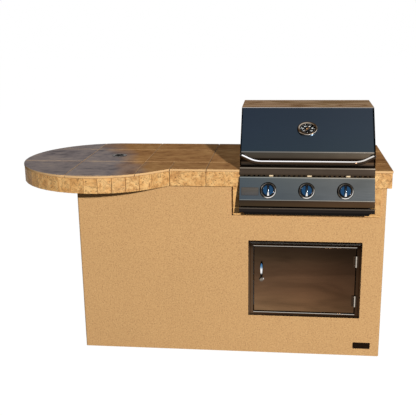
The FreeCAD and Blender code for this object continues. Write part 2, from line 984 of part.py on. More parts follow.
def stud(x0, y0, z0, z1, along_x, turned):
    """A lipped C stud inside the tracks. Its web is at the low side unless turned."""
    depth = track_width - 2 * frame_sheet
    sheet = frame_sheet
    profile = [
        (0, 0),
        (stud_flange, 0),
        (stud_flange, stud_lip),
        (stud_flange - sheet, stud_lip),
        (stud_flange - sheet, sheet),
        (sheet, sheet),
        (sheet, depth - sheet),
        (stud_flange - sheet, depth - sheet),
        (stud_flange - sheet, depth - stud_lip),
        (stud_flange, depth - stud_lip),
        (stud_flange, depth),
        (0, depth),
    ]
    if turned:
        profile = [(stud_flange - a, b) for a, b in profile]
    if along_x:
        plan = [(x0 + a, y0 + b) for a, b in profile]
    else:
        plan = [(x0 + b, y0 + a) for a, b in profile]
    return prism_z(plan, z0, z1)


def frame_tracks():
    """Floor and top tracks, with the header and sill over and under the door."""
    front = frame_front
    rear = frame_rear - track_width
    left = frame_left
    right = frame_right - track_width
    inner_front = front + track_width
    pieces = [
        channel_x(frame_left, frame_right, front, 0, 1),
        channel_x(frame_left, frame_right, rear, 0, 1),
        channel_y(left, inner_front, rear, 0, 1),
        channel_y(right, inner_front, rear, 0, 1),
        channel_x(frame_left, bay_left, front, base_top, -1),
        channel_x(bay_right, frame_right, front, base_top, -1),
        channel_x(frame_left, frame_right, rear, base_top, -1),
        channel_y(left, inner_front, rear, base_top, -1),
        channel_y(right, inner_front, rear, base_top, -1),
        channel_x(bay_left, bay_right, front, bay_sill, -1),
        channel_x(door_left - rough_margin, door_right + rough_margin, front, door_top + rough_margin, 1),
        channel_x(door_left - rough_margin, door_right + rough_margin, front, door_bottom - rough_margin, -1),
    ]
    return group(pieces)


def stud_places(offsets):
    return [base_left + offset for offset in offsets]


def frame_studs():
    """Upright studs of the four walls, with a pair of jambs beside the bay and the door."""
    z0 = frame_sheet
    z1 = base_top - frame_sheet
    front = frame_front + frame_sheet
    rear = frame_rear - track_width + frame_sheet
    last = frame_right - frame_sheet - stud_flange
    first = frame_left + frame_sheet
    studs = [stud(first, front, z0, z1, True, False), stud(first, rear, z0, z1, True, False)]
    studs += [stud(x, front, z0, z1, True, False) for x in stud_places(front_stud_offsets)]
    studs += [stud(x, rear, z0, z1, True, False) for x in stud_places(rear_stud_offsets)]
    studs.append(stud(last, rear, z0, z1, True, True))
    studs.append(stud(bay_left - stud_flange, front, z0, z1, True, True))
    studs.append(stud(bay_right, front, z0, z1, True, False))
    low_jamb = bay_sill - frame_sheet
    rough_left = door_left - rough_margin
    rough_right = door_right + rough_margin
    studs.append(stud(rough_left - stud_flange, front, z0, low_jamb, True, True))
    studs.append(stud(rough_right, front, z0, low_jamb, True, False))
    for x in (frame_left + frame_sheet, frame_right - track_width + frame_sheet):
        studs.append(stud(x, base_middle_y + vent_panel_width / 2, z0, z1, False, False))
        studs.append(stud(x, base_middle_y - vent_panel_width / 2 - stud_flange, z0, z1, False, True))
    return group(studs)


def overhang_brackets():
    """Flat steel angles that carry the round end where it leaves the base."""
    brackets = []
    for offset in bracket_offsets:
        y = base_middle_y + offset
        x = base_left
        far = y + bracket_width
        wall = box(x - bracket_sheet, x, y, far, base_top - bracket_drop, base_top)
        arm = box(x - bracket_reach, x, y, far, base_top - bracket_sheet, base_top)
        brackets.append(fuse([wall, arm]))
    return group(brackets)


def end_vents():
    """A flanged louvre plate on each end wall, to keep gas from gathering."""
    vents = []
    y0 = base_middle_y - vent_panel_width / 2
    y1 = base_middle_y + vent_panel_width / 2
    z0 = vent_panel_centre_z - vent_panel_height / 2
    z1 = vent_panel_centre_z + vent_panel_height / 2
    pitch = (vent_panel_height - 2 * vent_panel_lap) / louvre_count
    for side in (-1, 1):
        face = base_left if side < 0 else base_right
        out = side
        xs = sorted((face, face + out * vent_panel_sheet))
        plate = box(xs[0], xs[1], y0, y1, z0, z1)
        blades = []
        for index in range(louvre_count):
            slot_low = z0 + vent_panel_lap + pitch * index + (pitch - louvre_height) / 2
            slot_high = slot_low + louvre_height
            start = y0 + vent_panel_lap * 2
            end = y1 - vent_panel_lap * 2
            plate = plate.cut(box(xs[0] - 1, xs[1] + 1, start, end, slot_low, slot_high))
            top_out = face + out * vent_panel_sheet
            tip = top_out + out * louvre_depth
            profile = [
                (face, slot_high + vent_panel_sheet),
                (top_out, slot_high + vent_panel_sheet),
                (tip, slot_low + vent_panel_sheet),
                (tip, slot_low),
                (top_out, slot_high),
                (face, slot_high),
            ]
            blades.append(prism_y(profile, start, end))
        vents.append(fuse([plate] + blades))
    return group(vents)


# Access door

def rectangle_wire(half_width, half_height, y):
    x = bay_centre_x
    z = door_centre_z
    corners = [
        Vector(x - half_width, y, z - half_height),
        Vector(x + half_width, y, z - half_height),
        Vector(x + half_width, y, z + half_height),
        Vector(x - half_width, y, z + half_height),
    ]
    return Part.makePolygon(corners + corners[:1])


def door_frame():
    """A folded frame: flat lip, bevel, raised rim, and a sleeve into the wall."""
    lip_y = base_front - door_sheet
    rim_y = lip_y - door_flange_proud
    half_width = door_frame_width / 2
    half_height = door_frame_height / 2
    lip = door_lip
    bevel = door_bevel
    back_lip = lip + door_sheet
    flange = box(
        bay_centre_x - half_width,
        bay_centre_x + half_width,
        lip_y,
        base_front,
        door_centre_z - half_height,
        door_centre_z + half_height,
    )
    outer = Part.makeLoft(
        [
            rectangle_wire(half_width - lip, half_height - lip, lip_y),
            rectangle_wire(half_width - lip - bevel, half_height - lip - bevel, rim_y),
        ],
        True,
        True,
    )
    sleeve = box(
        door_left - door_sheet,
        door_right + door_sheet,
        lip_y,
        base_front + door_sleeve_depth,
        door_bottom - door_sheet,
        door_top + door_sheet,
    )
    body = flange.fuse([outer, sleeve])
    hollow = Part.makeLoft(
        [
            rectangle_wire(half_width - back_lip, half_height - back_lip, base_front),
            rectangle_wire(half_width - back_lip - bevel, half_height - back_lip - bevel, rim_y + door_sheet),
        ],
        True,
        True,
    )
    hollow = hollow.cut(box(
        door_left - door_sheet,
        door_right + door_sheet,
        rim_y,
        base_front + cut_margin,
        door_bottom - door_sheet,
        door_top + door_sheet,
    ))
    body = body.cut(hollow)
    sleeve_end = base_front + door_sleeve_depth + cut_margin
    opening = box(door_left, door_right, rim_y - cut_margin, sleeve_end, door_bottom, door_top)
    body = body.cut(opening).removeSplitter()
    inner_edges = []
    for edge in body.Edges:
        bounds = edge.BoundBox
        on_front = abs(bounds.YMin - rim_y) < 0.01 and abs(bounds.YMax - rim_y) < 0.01
        inside = bounds.XMin > door_left - 0.01 and bounds.XMax < door_right + 0.01
        if on_front and inside and bounds.ZMin > door_bottom - 0.01 and bounds.ZMax < door_top + 0.01:
            inner_edges.append(edge)
    body = body.makeFillet(door_sheet * 0.9, inner_edges)
    tab_y = door_back_y + seat_clearance
    tab = box(
        door_left,
        door_left + latch_tab_reach,
        tab_y,
        tab_y + door_sheet,
        door_centre_z - latch_cam_width,
        door_centre_z + latch_cam_width,
    )
    return group([body, tab])


def hinge_centres():
    return [door_centre_z - hinge_offset, door_centre_z + hinge_offset]


def hinge_barrel(radius, z0, z1):
    return cylinder(radius, (door_hinge_x, door_hinge_y, z0), (door_hinge_x, door_hinge_y, z1))


def frame_hinges():
    """The frame's half of each hinge: a leaf on the rim, two outer knuckles and the fixed pin."""
    pieces = []
    third = hinge_length / 3
    leaf_y = door_rim_y - hinge_leaf_sheet
    inner = door_hinge_x + hinge_barrel_radius + hinge_gap
    for centre in hinge_centres():
        z0 = centre - hinge_length / 2
        z1 = centre + hinge_length / 2
        shapes = [
            box(inner, door_hinge_x + hinge_leaf_width, leaf_y, door_rim_y, z0, z1),
            hinge_barrel(hinge_pin_radius, z0, z1),
        ]
        for start in (z0, z1 - third):
            shapes.append(hinge_barrel(hinge_barrel_radius, start, start + third))
            shapes.append(box(door_hinge_x, inner + hinge_gap, leaf_y, door_rim_y, start, start + third))
        pieces.append(fuse(shapes))
    return group(pieces)


def door_panel():
    """A folded door pan with soft front edges and a returned rim behind."""
    x0 = door_left + door_gap
    x1 = door_right - door_gap
    z0 = door_bottom + door_gap
    z1 = door_top - door_gap
    front = door_face_y
    pan = box(x0, x1, front, door_back_y, z0, z1)
    soft = [e for e in pan.Edges if e.BoundBox.YMax < front + 0.01]
    pan = pan.makeFillet(door_edge_radius, soft)
    sheet = door_sheet
    hollow = box(x0 + sheet, x1 - sheet, front + sheet, door_back_y - sheet, z0 + sheet, z1 - sheet)
    lip = door_return
    mouth = box(x0 + lip, x1 - lip, door_back_y - 2 * sheet, door_back_y + sheet, z0 + lip, z1 - lip)
    pan = pan.cut(hollow).cut(mouth)
    start = (latch_x, front - sheet, door_centre_z)
    end = (latch_x, front + 2 * sheet, door_centre_z)
    return pan.cut(cylinder(latch_shaft_radius + running_clearance, start, end))


def door_back():
    """The flat inner sheet that closes the door pan, with a housing for the latch shaft."""
    inset = door_return
    x0 = door_left + door_gap + inset
    x1 = door_right - door_gap - inset
    z0 = door_bottom + door_gap + inset
    z1 = door_top - door_gap - inset
    plate = box(x0, x1, door_back_y - door_sheet, door_back_y, z0, z1)
    start = (latch_x, door_face_y + door_sheet, door_centre_z)
    end = (latch_x, door_back_y, door_centre_z)
    boss = cylinder(latch_shaft_radius + latch_boss_wall, start, end)
    bore = cylinder(latch_shaft_radius + running_clearance, start, end)
    return fuse([plate, boss]).cut(bore)


def door_hinge_leaves():
    """The door's half of each hinge: the middle knuckle and its leaf on the door's face."""
    leaves = []
    third = hinge_length / 3
    leaf_y = door_rim_y - hinge_leaf_sheet
    edge = door_right - door_gap
    for centre in hinge_centres():
        z0 = centre - third / 2 + seat_clearance
        z1 = centre + third / 2 - seat_clearance
        low = centre - hinge_length / 2
        high = centre + hinge_length / 2
        inner = edge - door_edge_radius
        plate = box(edge - hinge_leaf_width, inner, leaf_y, door_face_y, low, high)
        strap = box(inner - 1, door_hinge_x, leaf_y, door_face_y, z0, z1)
        barrel = hinge_barrel(hinge_barrel_radius, z0, z1)
        hole = hinge_barrel(hinge_pin_radius + running_clearance, z0, z1)
        leaves.append(fuse([plate, strap, barrel]).cut(hole))
    return group(leaves)


def latch_rosette():
    """A bevelled round plate that the lever turns on."""
    face = door_face_y
    bore = latch_shaft_radius + running_clearance
    front = face - latch_rosette_thickness
    profile = [
        Vector(bore, face, 0),
        Vector(latch_rosette_radius, face, 0),
        Vector(latch_rosette_radius - latch_rosette_thickness, front, 0),
        Vector(bore, front, 0),
    ]
    ring = Part.Face(Part.makePolygon(profile + profile[:1])).revolve(Vector(0, 0, 0), Vector(0, 1, 0), 360)
    ring.translate(Vector(latch_x, 0, door_centre_z))
    return ring


def latch_lever():
    """A drop-shaped lever: a round hub, a narrow neck and a fuller tip that points up."""
    y0 = door_face_y - latch_rosette_thickness - seat_clearance
    y1 = y0 - latch_lever_lift
    hub = cylinder(latch_hub_radius, (latch_x, y0, door_centre_z), (latch_x, y1, door_centre_z))
    foot = Vector(0, 0, 0)
    outline = [
        foot,
        Vector(latch_neck_radius, 0, 0),
        Vector(latch_tip_radius, 0, latch_belly_height),
        Vector(latch_shoulder_radius, 0, latch_shoulder_height),
        Vector(latch_crown_radius, 0, latch_lever_length),
        Vector(0, 0, latch_lever_length),
    ]
    blade = Part.Face(Part.makePolygon(outline + outline[:1])).revolve(foot, Vector(0, 0, 1), 360)
    blade.rotate(foot, Vector(1, 0, 0), latch_lean)
    blade.translate(Vector(latch_x, y1 + latch_neck_radius, door_centre_z))
    return hub.fuse(blade).removeSplitter()


def latch_shaft_and_cam():
    """The square-ended shaft through the door and the cam that turns behind the frame's tab."""
    y0 = door_face_y - latch_rosette_thickness - seat_clearance
    cam_y = door_back_y + seat_clearance * 2 + door_sheet
    y1 = cam_y + latch_cam_sheet
    shaft = cylinder(latch_shaft_radius, (latch_x, y0, door_centre_z), (latch_x, y1, door_centre_z))
    half = latch_cam_width / 2
    cam = box(
        latch_x - half,
        latch_x + half,
        cam_y,
        y1,
        door_centre_z - latch_cam_length,
        door_centre_z + half,
    )
    return fuse([shaft, cam])


# Grill casing

def rail_line():
    """The front rail's outer line, from its rear edge over the front to its return."""
    front_top = front_y - rail_stand_out + rail_lean
    return [
        (liner_front, rim_top),
        (front_top + rail_shoulder, rim_top),
        (front_top, rim_top - rail_shoulder),
        (front_y - rail_stand_out, rail_bottom_z),
        (panel_back_y, rail_bottom_z),
    ]


def front_rail():
    """The folded rail between the hood and the vent row, with its two end plates."""
    line = rail_line()
    sheet = folded_sheet(line[::-1], grill_sheet, grill_left, grill_right)
    end_y = front_y - seat_clearance
    end = line[:-1] + [(end_y, rail_bottom_z), (end_y, counter_height), (liner_front, counter_height)]
    left = prism_x(end, grill_left, grill_left + grill_sheet)
    right = prism_x(end, grill_right - grill_sheet, grill_right)
    return fuse([sheet, left, right])


def panel_line():
    """The control panel's outer line, from the vent row down to the lower return."""
    vent_y = panel_top_y + vent_recess
    return [
        (panel_back_y, rail_bottom_z),
        (vent_y, rail_bottom_z),
        (vent_y, panel_top_z),
        (panel_top_y, panel_top_z),
        (panel_bottom_y, panel_bottom_z),
        (lip_bottom_y, lip_bottom_z),
        (lip_bottom_y + lip_return, lip_bottom_z),
    ]


def on_panel(x, outward):
    """A point on the knob's axis, at a distance out from the panel's face."""
    tilt = math.radians(panel_tilt)
    y = panel_top_y - knob_down_panel * math.sin(tilt) - outward * math.cos(tilt)
    z = panel_top_z - knob_down_panel * math.cos(tilt) + outward * math.sin(tilt)
    return (x, y, z)


def control_panel():
    """The sloped panel: a folded sheet, end plates with rear flanges, vent slots, valve holes."""
    line = panel_line()
    shapes = [folded_sheet(line, -grill_sheet, grill_left, grill_right)]
    end = line + [(panel_back_y, lip_bottom_z)]
    flange_y = panel_back_y - grill_sheet
    flange_reach = shell_left + grill_sheet - grill_left
    for side in (-1, 1):
        outer = grill_left if side < 0 else grill_right
        xs = sorted((outer, outer - side * grill_sheet))
        shapes.append(prism_x(end, *xs))
        xs = sorted((outer, outer - side * flange_reach))
        shapes.append(box(*xs, flange_y, panel_back_y, lip_bottom_z, rail_bottom_z))
    body = fuse(shapes)
    vent_y = panel_top_y + vent_recess
    slot_z = (rail_bottom_z + panel_top_z) / 2
    pitch = (grill_width - 2 * vent_side_margin) / vent_slot_count
    cuts = []
    for index in range(vent_slot_count):
        x = grill_left + vent_side_margin + pitch * (index + 0.5)
        cuts.append(box(
            x - vent_slot_width / 2,
            x + vent_slot_width / 2,
            vent_y - grill_sheet,
            vent_y + 2 * grill_sheet,
            slot_z - vent_slot_height / 2,
            slot_z + vent_slot_height / 2,
        ))
    for x in burner_places:
        reach = 2 * grill_sheet
        cuts.append(cylinder(stem_radius + stem_hole_clearance, on_panel(x, reach), on_panel(x, -reach)))
    return body.cut(cuts)


def rim():
    """The folded rim that rests on the counter at the left, the right and the rear."""
    sheet = grill_sheet
    z0 = counter_height
    z1 = rim_top
    front = liner_front
    rear = bay_rear + rim_reach
    rails = []
    for side in (-1, 1):
        outer = grill_left if side < 0 else grill_right
        foot = bay_left if side < 0 else bay_right
        inner = liner_left if side < 0 else liner_right
        profile = [
            (foot, z0),
            (outer, z0),
            (outer, z1),
            (inner, z1),
            (inner, z1 - sheet),
            (outer - side * sheet, z1 - sheet),
            (outer - side * sheet, z0 + sheet),
            (foot, z0 + sheet),
        ]
        rails.append(prism_y(profile, front, rear))
    profile = [
        (bay_rear, z0),
        (rear, z0),
        (rear, z1),
        (liner_rear, z1),
        (liner_rear, z1 - sheet),
        (rear - sheet, z1 - sheet),
        (rear - sheet, z0 + sheet),
        (bay_rear, z0 + sheet),
    ]
    rails.append(prism_x(profile, liner_left, liner_right))
    return group(rails)


def firebox_shell():
    """The outer side and rear walls that hang in the counter's cut-out."""
    top = rim_top - grill_sheet
    sheet = grill_sheet
    front = panel_back_y + 2 * seat_clearance
    left = box(shell_left, shell_left + sheet, front, shell_rear, shell_bottom, top)
    right = box(shell_right - sheet, shell_right, front, shell_rear, shell_bottom, top)
    rear = box(shell_left + sheet, shell_right - sheet, shell_rear - sheet, shell_rear, shell_bottom, top)
    start = (gas_line_x, shell_rear - cut_margin, manifold_z)
    end = (gas_line_x, shell_rear + cut_margin, manifold_z)
    rear = rear.cut(cylinder(feed_tube_radius + feed_hole_clearance, start, end))
    return group([left, right, rear])


def firebox_liner():
    """The inner box with a drain opening, burner holes and the ledges for tamers and grates."""
    sheet = grill_sheet
    body = box(liner_left, liner_right, liner_front, liner_rear, liner_floor, rim_top)
    body = body.cut(box(
        liner_left + sheet,
        liner_right - sheet,
        liner_front + sheet,
        liner_rear - sheet,
        liner_floor + sheet,
        rim_top + sheet,
    ))
    middle_y = (liner_front + liner_rear) / 2
    body = body.cut(box(
        bay_centre_x - liner_drain_length / 2,
        bay_centre_x + liner_drain_length / 2,
        middle_y - liner_drain_depth / 2,
        middle_y + liner_drain_depth / 2,
        liner_floor - sheet,
        liner_floor + 2 * sheet,
    ))
    for x in burner_places:
        start = (x, liner_front - sheet, burner_z)
        end = (x, liner_front + 2 * sheet, burner_z)
        body = body.cut(cylinder(burner_radius + burner_clearance, start, end))
    ledges = []
    left = liner_left + sheet
    right = liner_right - sheet
    for z, rear_depth in ((tamer_z, ledge_strip), (grate_z, rear_ledge_strip)):
        for y0, depth in ((liner_front + sheet, ledge_strip), (liner_rear - sheet - rear_depth, rear_depth)):
            ledges.append(box(left, right, y0, y0 + depth, z - ledge_strip_sheet, z))
    return fuse([body] + ledges)


def burner_tubes():
    """Round tube burners with an air collar in front of the liner and a closed rear end."""
    burners = []
    rear = liner_rear - grill_sheet
    for x in burner_places:
        tube = cylinder(burner_radius, (x, liner_front, burner_z), (x, rear, burner_z))
        mouth_y = liner_front - burner_collar_length
        collar = cylinder(burner_collar_radius, (x, mouth_y, burner_z), (x, liner_front, burner_z))
        bore_end = (x, rear - burner_wall, burner_z)
        bore = cylinder(burner_radius - burner_wall, (x, mouth_y, burner_z), bore_end)
        burners.append(fuse([tube, collar]).cut(bore))
    return group(burners)


def flame_tamers():
    """A roof-shaped sheet over each burner, on the liner's lower ledges."""
    tamers = []
    half = tamer_width / 2
    for x in burner_places:
        outer = [(x - half, tamer_z), (x, tamer_z + tamer_height), (x + half, tamer_z)]
        low = half - tamer_edge
        inner = [(x + low, tamer_z), (x, tamer_z + tamer_height - grill_sheet), (x - low, tamer_z)]
        tamers.append(prism_y(outer + inner, liner_front + grill_sheet, liner_rear - grill_sheet))
    return group(tamers)


def grate_panels():
    """The left edge of each grate, and the width that they share."""
    inner_left = liner_left + grill_sheet + grate_gap
    inner_right = liner_right - grill_sheet - grate_gap
    width = (inner_right - inner_left - grate_gap * (grate_count - 1)) / grate_count
    return [inner_left + index * (width + grate_gap) for index in range(grate_count)], width


def rod_place(left, width, index):
    pitch = (width - 2 * grate_rod_radius) / (grate_rods - 1)
    return left + grate_rod_radius + pitch * index


def cooking_grates():
    """Three lift-out grates: rods over cross bars that rest on the upper ledges."""
    grates = []
    places, width = grate_panels()
    y0 = liner_front + grill_sheet + grate_end_gap
    y1 = liner_rear - grill_sheet - grate_end_gap
    bar_top = grate_z + grate_bar
    rod_z = bar_top + grate_rod_radius * math.cos(math.radians(30))
    for left in places:
        shapes = []
        for bar_y in (y0, (y0 + y1 - grate_bar) / 2, y1 - grate_bar):
            shapes.append(box(left, left + width, bar_y, bar_y + grate_bar, grate_z, bar_top))
        for index in range(grate_rods):
            x = rod_place(left, width, index)
            shapes.append(rod(grate_rod_radius, (x, y0, rod_z), (x, y1, rod_z)))
        grates.append(fuse(shapes))
    return group(grates)


def warming_rack():
    """A wire shelf between two rails. Its legs pass between the grates' rods to the ledge."""
    z = grate_z + rack_height_above_grate
    y1 = liner_rear - grill_sheet - rear_ledge_strip + rack_rail_radius + rack_rear_gap
    y0 = y1 - rack_depth
    left = liner_left + rack_side_gap
    right = liner_right - rack_side_gap
    shapes = [
        rod(rack_rail_radius, (left, y0, z), (right, y0, z)),
        rod(rack_rail_radius, (left, y1, z), (right, y1, z)),
    ]
    for index in range(rack_wire_count):
        x = left + rack_wire_inset + (right - left - 2 * rack_wire_inset) * index / (rack_wire_count - 1)
        shapes.append(rod(rack_wire_radius, (x, y0, z), (x, y1, z)))
    places, width = grate_panels()
    outer_gap = (rod_place(places[0], width, 2) + rod_place(places[0], width, 3)) / 2
    for x in (outer_gap, liner_left + liner_right - outer_gap):
        shapes.append(rod(rack_wire_radius, (x, y1, grate_z), (x, y1, z)))
    return fuse(shapes)


# Gas train

def gas_manifold():
    """The pipe behind the control panel that feeds the three valves."""
    y = manifold_y
    z = manifold_z
    start = grill_left + manifold_inset
    return cylinder(manifold_radius, (start, y, z), (gas_line_x + feed_tube_radius + manifold_end, y, z))


def valve_bodies():
    """Burner valves: a hexagon body on the knob's axis, an inlet block and an outlet spud."""
    bodies = []
    start = -grill_sheet
    half = valve_inlet_width / 2
    for x in burner_places:
        barrel = rod(valve_radius, on_panel(x, start), on_panel(x, start - valve_depth))
        inner_x, inner_y, inner_z = on_panel(x, start - valve_depth * valve_inlet_share)
        block = box(x - half, x + half, manifold_y - half, manifold_y + half, manifold_z, inner_z)
        spud = rod(spud_radius, (x, inner_y, burner_z), (x, liner_front - spud_gap, burner_z))
        web_front = inner_y - spud_web_front
        web_rear = inner_y + spud_web_rear
        web = box(x - spud_radius, x + spud_radius, web_front, web_rear, burner_z - spud_radius, inner_z)
        body = fuse([barrel, block, web, spud])
        left = (x - valve_saddle, manifold_y, manifold_z)
        right = (x + valve_saddle, manifold_y, manifold_z)
        body = body.cut(cylinder(manifold_radius, left, right))
        bore = cylinder(stem_radius + running_clearance, on_panel(x, 0), on_panel(x, -stem_depth))
        cavity = cylinder(
            valve_cavity_radius + running_clearance,
            on_panel(x, start - valve_cavity_start),
            on_panel(x, start - valve_cavity_start - valve_cavity_length),
        )
        bodies.append(body.cut(bore).cut(cavity))
    return group(bodies)


def valve_plunger(x):
    """The sprung washer that slides with a valve's stem when its knob is pushed."""
    start = -grill_sheet - valve_cavity_start - plunger_gap
    ring = cylinder(valve_cavity_radius, on_panel(x, start), on_panel(x, start - plunger_thickness))
    hole = cylinder(stem_radius + running_clearance, on_panel(x, 0), on_panel(x, -stem_depth))
    return ring.cut(hole)


def valve_stem(x):
    """The round stem from inside the valve into the knob's hub."""
    inner_end = knob_travel + plunger_gap - stem_depth
    return cylinder(stem_radius, on_panel(x, knob_lift + knob_bore_depth), on_panel(x, inner_end))


def knob(x):
    """A cast knob: a bevelled skirt with an arched grip bar across it."""
    skirt = Part.makeCylinder(knob_radius, knob_skirt)
    rim_edge = [e for e in skirt.Edges if e.BoundBox.ZMin > knob_skirt - 0.01]
    skirt = skirt.makeChamfer(knob_bevel, rim_edge)
    half = knob_grip_width / 2
    reach = knob_radius - knob_grip_inset
    low_left = Vector(-half, -reach, 0)
    left = Vector(-half, -reach, knob_grip_end_height)
    peak = Vector(-half, 0, knob_grip_height)
    right = Vector(-half, reach, knob_grip_end_height)
    low_right = Vector(-half, reach, 0)
    outline = [
        Part.LineSegment(low_left, left).toShape(),
        Part.Arc(left, peak, right).toShape(),
        Part.LineSegment(right, low_right).toShape(),
        Part.LineSegment(low_right, low_left).toShape(),
    ]
    grip = Part.Face(Part.Wire(outline)).extrude(Vector(knob_grip_width, 0, 0))
    crest = [e for e in grip.Edges if e.BoundBox.XLength < 0.01 and e.BoundBox.ZMax > knob_grip_height - 0.01]
    grip = grip.makeChamfer(knob_grip_bevel, crest)
    bore = Part.makeCylinder(stem_radius, knob_bore_depth)
    body = fuse([skirt, grip]).cut(bore)
    body.translate(Vector(0, 0, knob_lift))
    return stand_on_slope(body, panel_tilt, on_panel(x, 0))


def knob_bezels():
    """A flared ring round each knob, seated on the panel."""
    rings = []
    for x in burner_places:
        profile = [
            Vector(bezel_bore, 0, 0),
            Vector(bezel_radius, 0, 0),
            Vector(bezel_radius - bezel_flare, 0, bezel_height),
            Vector(bezel_bore, 0, bezel_height),
        ]
        face = Part.Face(Part.makePolygon(profile + profile[:1]))
        ring = face.revolve(Vector(0, 0, 0), Vector(0, 0, 1), 360)
        rings.append(stand_on_slope(ring, panel_tilt, on_panel(x, 0)))
    return group(rings)


def knob_lights():
    """Small lamp lenses under the rail, one over each knob."""
    lights = []
    wall_y = panel_top_y + vent_recess
    for x in burner_places:
        centre = x + light_offset_x
        lens = box(
            centre - light_width / 2,
            centre + light_width / 2,
            wall_y - light_depth,
            wall_y,
            rail_bottom_z - light_height,
            rail_bottom_z,
        )
        lights.append(lens)
    return group(lights)


def feed_tube():
    """Gas tube from the shut-off valve up behind the firebox and forward to the manifold."""
    corner = (gas_line_x, gas_line_y, manifold_z)
    top = (gas_line_x, gas_line_y, gas_valve_centre_z + gas_valve_length / 2)
    end = (gas_line_x, manifold_y, manifold_z)
    tube = fuse([
        cylinder(feed_tube_radius, top, corner),
        cylinder(feed_tube_radius, corner, end),
        elbow(corner, feed_tube_radius),
    ])
    left = (gas_line_x - valve_saddle, manifold_y, manifold_z)
    right = (gas_line_x + valve_saddle, manifold_y, manifold_z)
    return tube.cut(cylinder(manifold_radius, left, right))


def inlet_pipe():
    """Gas pipe from the shut-off valve, through the rear wall, to its inlet and wall flange."""
    face = base_rear + inlet_flange_thickness
    corner = (gas_line_x, gas_line_y, pipe_height)
    wall = (gas_line_x, base_rear, pipe_height)
    outside = (gas_line_x, face, pipe_height)
    return fuse([
        cylinder(pipe_radius, outside, corner),
        cylinder(pipe_radius, corner, (gas_line_x, gas_line_y, gas_valve_centre_z - gas_valve_length / 2)),
        elbow(corner, pipe_radius),
        cylinder(inlet_flange_radius, wall, outside),
        cylinder(inlet_radius, outside, (gas_line_x, face + inlet_length, pipe_height)),
    ])


def gas_valve_body():
    """A quarter-turn valve: a round middle between two hexagon ends."""
    low = gas_valve_centre_z - gas_valve_length / 2
    high = gas_valve_centre_z + gas_valve_length / 2
    x = gas_line_x
    y = gas_line_y
    z = gas_valve_centre_z
    shapes = [cylinder(gas_valve_radius, (x, y, low), (x, y, high))]
    corners = []
    for index in range(6):
        angle = math.radians(60 * index)
        corners.append((x + gas_valve_hexagon * math.cos(angle), y + gas_valve_hexagon * math.sin(angle)))
    for z0 in (low, high - gas_valve_hexagon_length):
        shapes.append(prism_z(corners, z0, z0 + gas_valve_hexagon_length))
    shapes.append(cylinder(gas_bonnet_radius, (x, y, z), (x, gas_bonnet_y, z)))
    bore_start = (x, y - gas_lever_seat_depth, z)
    bore = cylinder(gas_lever_shaft_radius + running_clearance, bore_start, (x, gas_bonnet_y, z))
    return fuse(shapes).cut(bore)


def gas_valve_lever():
    """The shut-off lever, in line with the pipe when the gas is on."""
    x = gas_line_x
    z = gas_valve_centre_z
    plate_back = gas_bonnet_y - seat_clearance
    plate_front = plate_back - gas_lever_sheet
    shaft_start = (x, gas_line_y - gas_lever_seat_depth - seat_clearance, z)
    shaft = cylinder(gas_lever_shaft_radius, shaft_start, (x, plate_front, z))
    half = gas_lever_width / 2
    plate = box(x - half, x + half, plate_front, plate_back, z - half, z + gas_lever_length)
    ends = [e for e in plate.Edges if e.BoundBox.YLength > gas_lever_sheet / 2]
    return fuse([plate.makeFillet(half * 0.95, ends), shaft])


# Drip tray

def tray_runners():
    """Angles on the shell's walls that carry the tray."""
    z = ledge_top + tray_floor_rise - seat_clearance
    y0 = base_front + runner_front_gap
    y1 = shell_rear - grill_sheet
    sheet = grill_sheet
    left_wall = shell_left + sheet
    right_wall = shell_right - sheet
    runners = []
    for wall, side in ((left_wall, 1), (right_wall, -1)):
        profile = [
            (wall, z - sheet),
            (wall + side * runner_leg, z - sheet),
            (wall + side * runner_leg, z),
            (wall + side * sheet, z),
            (wall + side * sheet, z + runner_leg),
            (wall, z + runner_leg),
        ]
        runners.append(prism_y(profile, y0, y1))
    return group(runners)


def drip_tray():
    """A long shallow pan with a channel-shaped front that also is its handle."""
    z0 = ledge_top + tray_floor_rise
    top = tray_top_z
    front = front_y - tray_front_stand_out
    pan_front = front + tray_front_depth
    pan_rear = pan_front + tray_length
    sheet = tray_sheet
    wall = shell_left + 2 * grill_sheet + tray_side_gap
    other = shell_right - 2 * grill_sheet - tray_side_gap
    pan_top = z0 + tray_depth
    pan = box(wall, other, pan_front, pan_rear, z0, pan_top)
    pan = pan.cut(box(
        wall + sheet,
        other - sheet,
        pan_front + sheet,
        pan_rear - sheet,
        z0 + sheet,
        pan_top + sheet,
    ))
    riser = box(wall, other, pan_front, pan_front + sheet, z0, top)
    face = box(grill_left, grill_right, front, front + sheet, top - tray_front_height, top)
    cap = box(grill_left, grill_right, front, pan_front + sheet, top - sheet, top)
    low = top - tray_front_height
    foot = box(grill_left, grill_right, front, pan_front + sheet, low, low + sheet)
    body = fuse([pan, riser, face, cap, foot])
    return round_x_edges(body, [(front, top)], tray_edge_radius)


# Hood

def hood_line():
    """The hood's outer line: band, facet, crown and rear facet."""
    y = hood_front
    z = hood_bottom
    line = [(y, z)]
    y += band_lean
    z += band_height
    line.append((y, z))
    y += facet_depth
    z += facet_height
    line.append((y, z))
    y += crown_depth
    z += crown_rise
    line.append((y, z))
    y += rear_facet_depth
    z -= rear_facet_height
    line.append((y, z))
    return line


def hood_shell():
    """The outer sheet of the hood, folded with small bend radii."""
    line = hood_line()
    shell = folded_sheet(line, grill_sheet, grill_left, grill_right)
    shell = round_x_edges(shell, line[1:4], hood_bend_radius)
    inner = offset_line(line, grill_sheet)
    shell = round_x_edges(shell, inner[1:4], hood_bend_radius - grill_sheet)
    shell = shell.cut(below(hood_bottom))
    radius = gauge_stem_radius + gauge_hole_clearance
    hole = Part.makeCylinder(radius, 2 * cut_margin, Vector(0, 0, -cut_margin))
    return shell.cut(stand_on_slope(hole, facet_tilt, gauge_centre()))


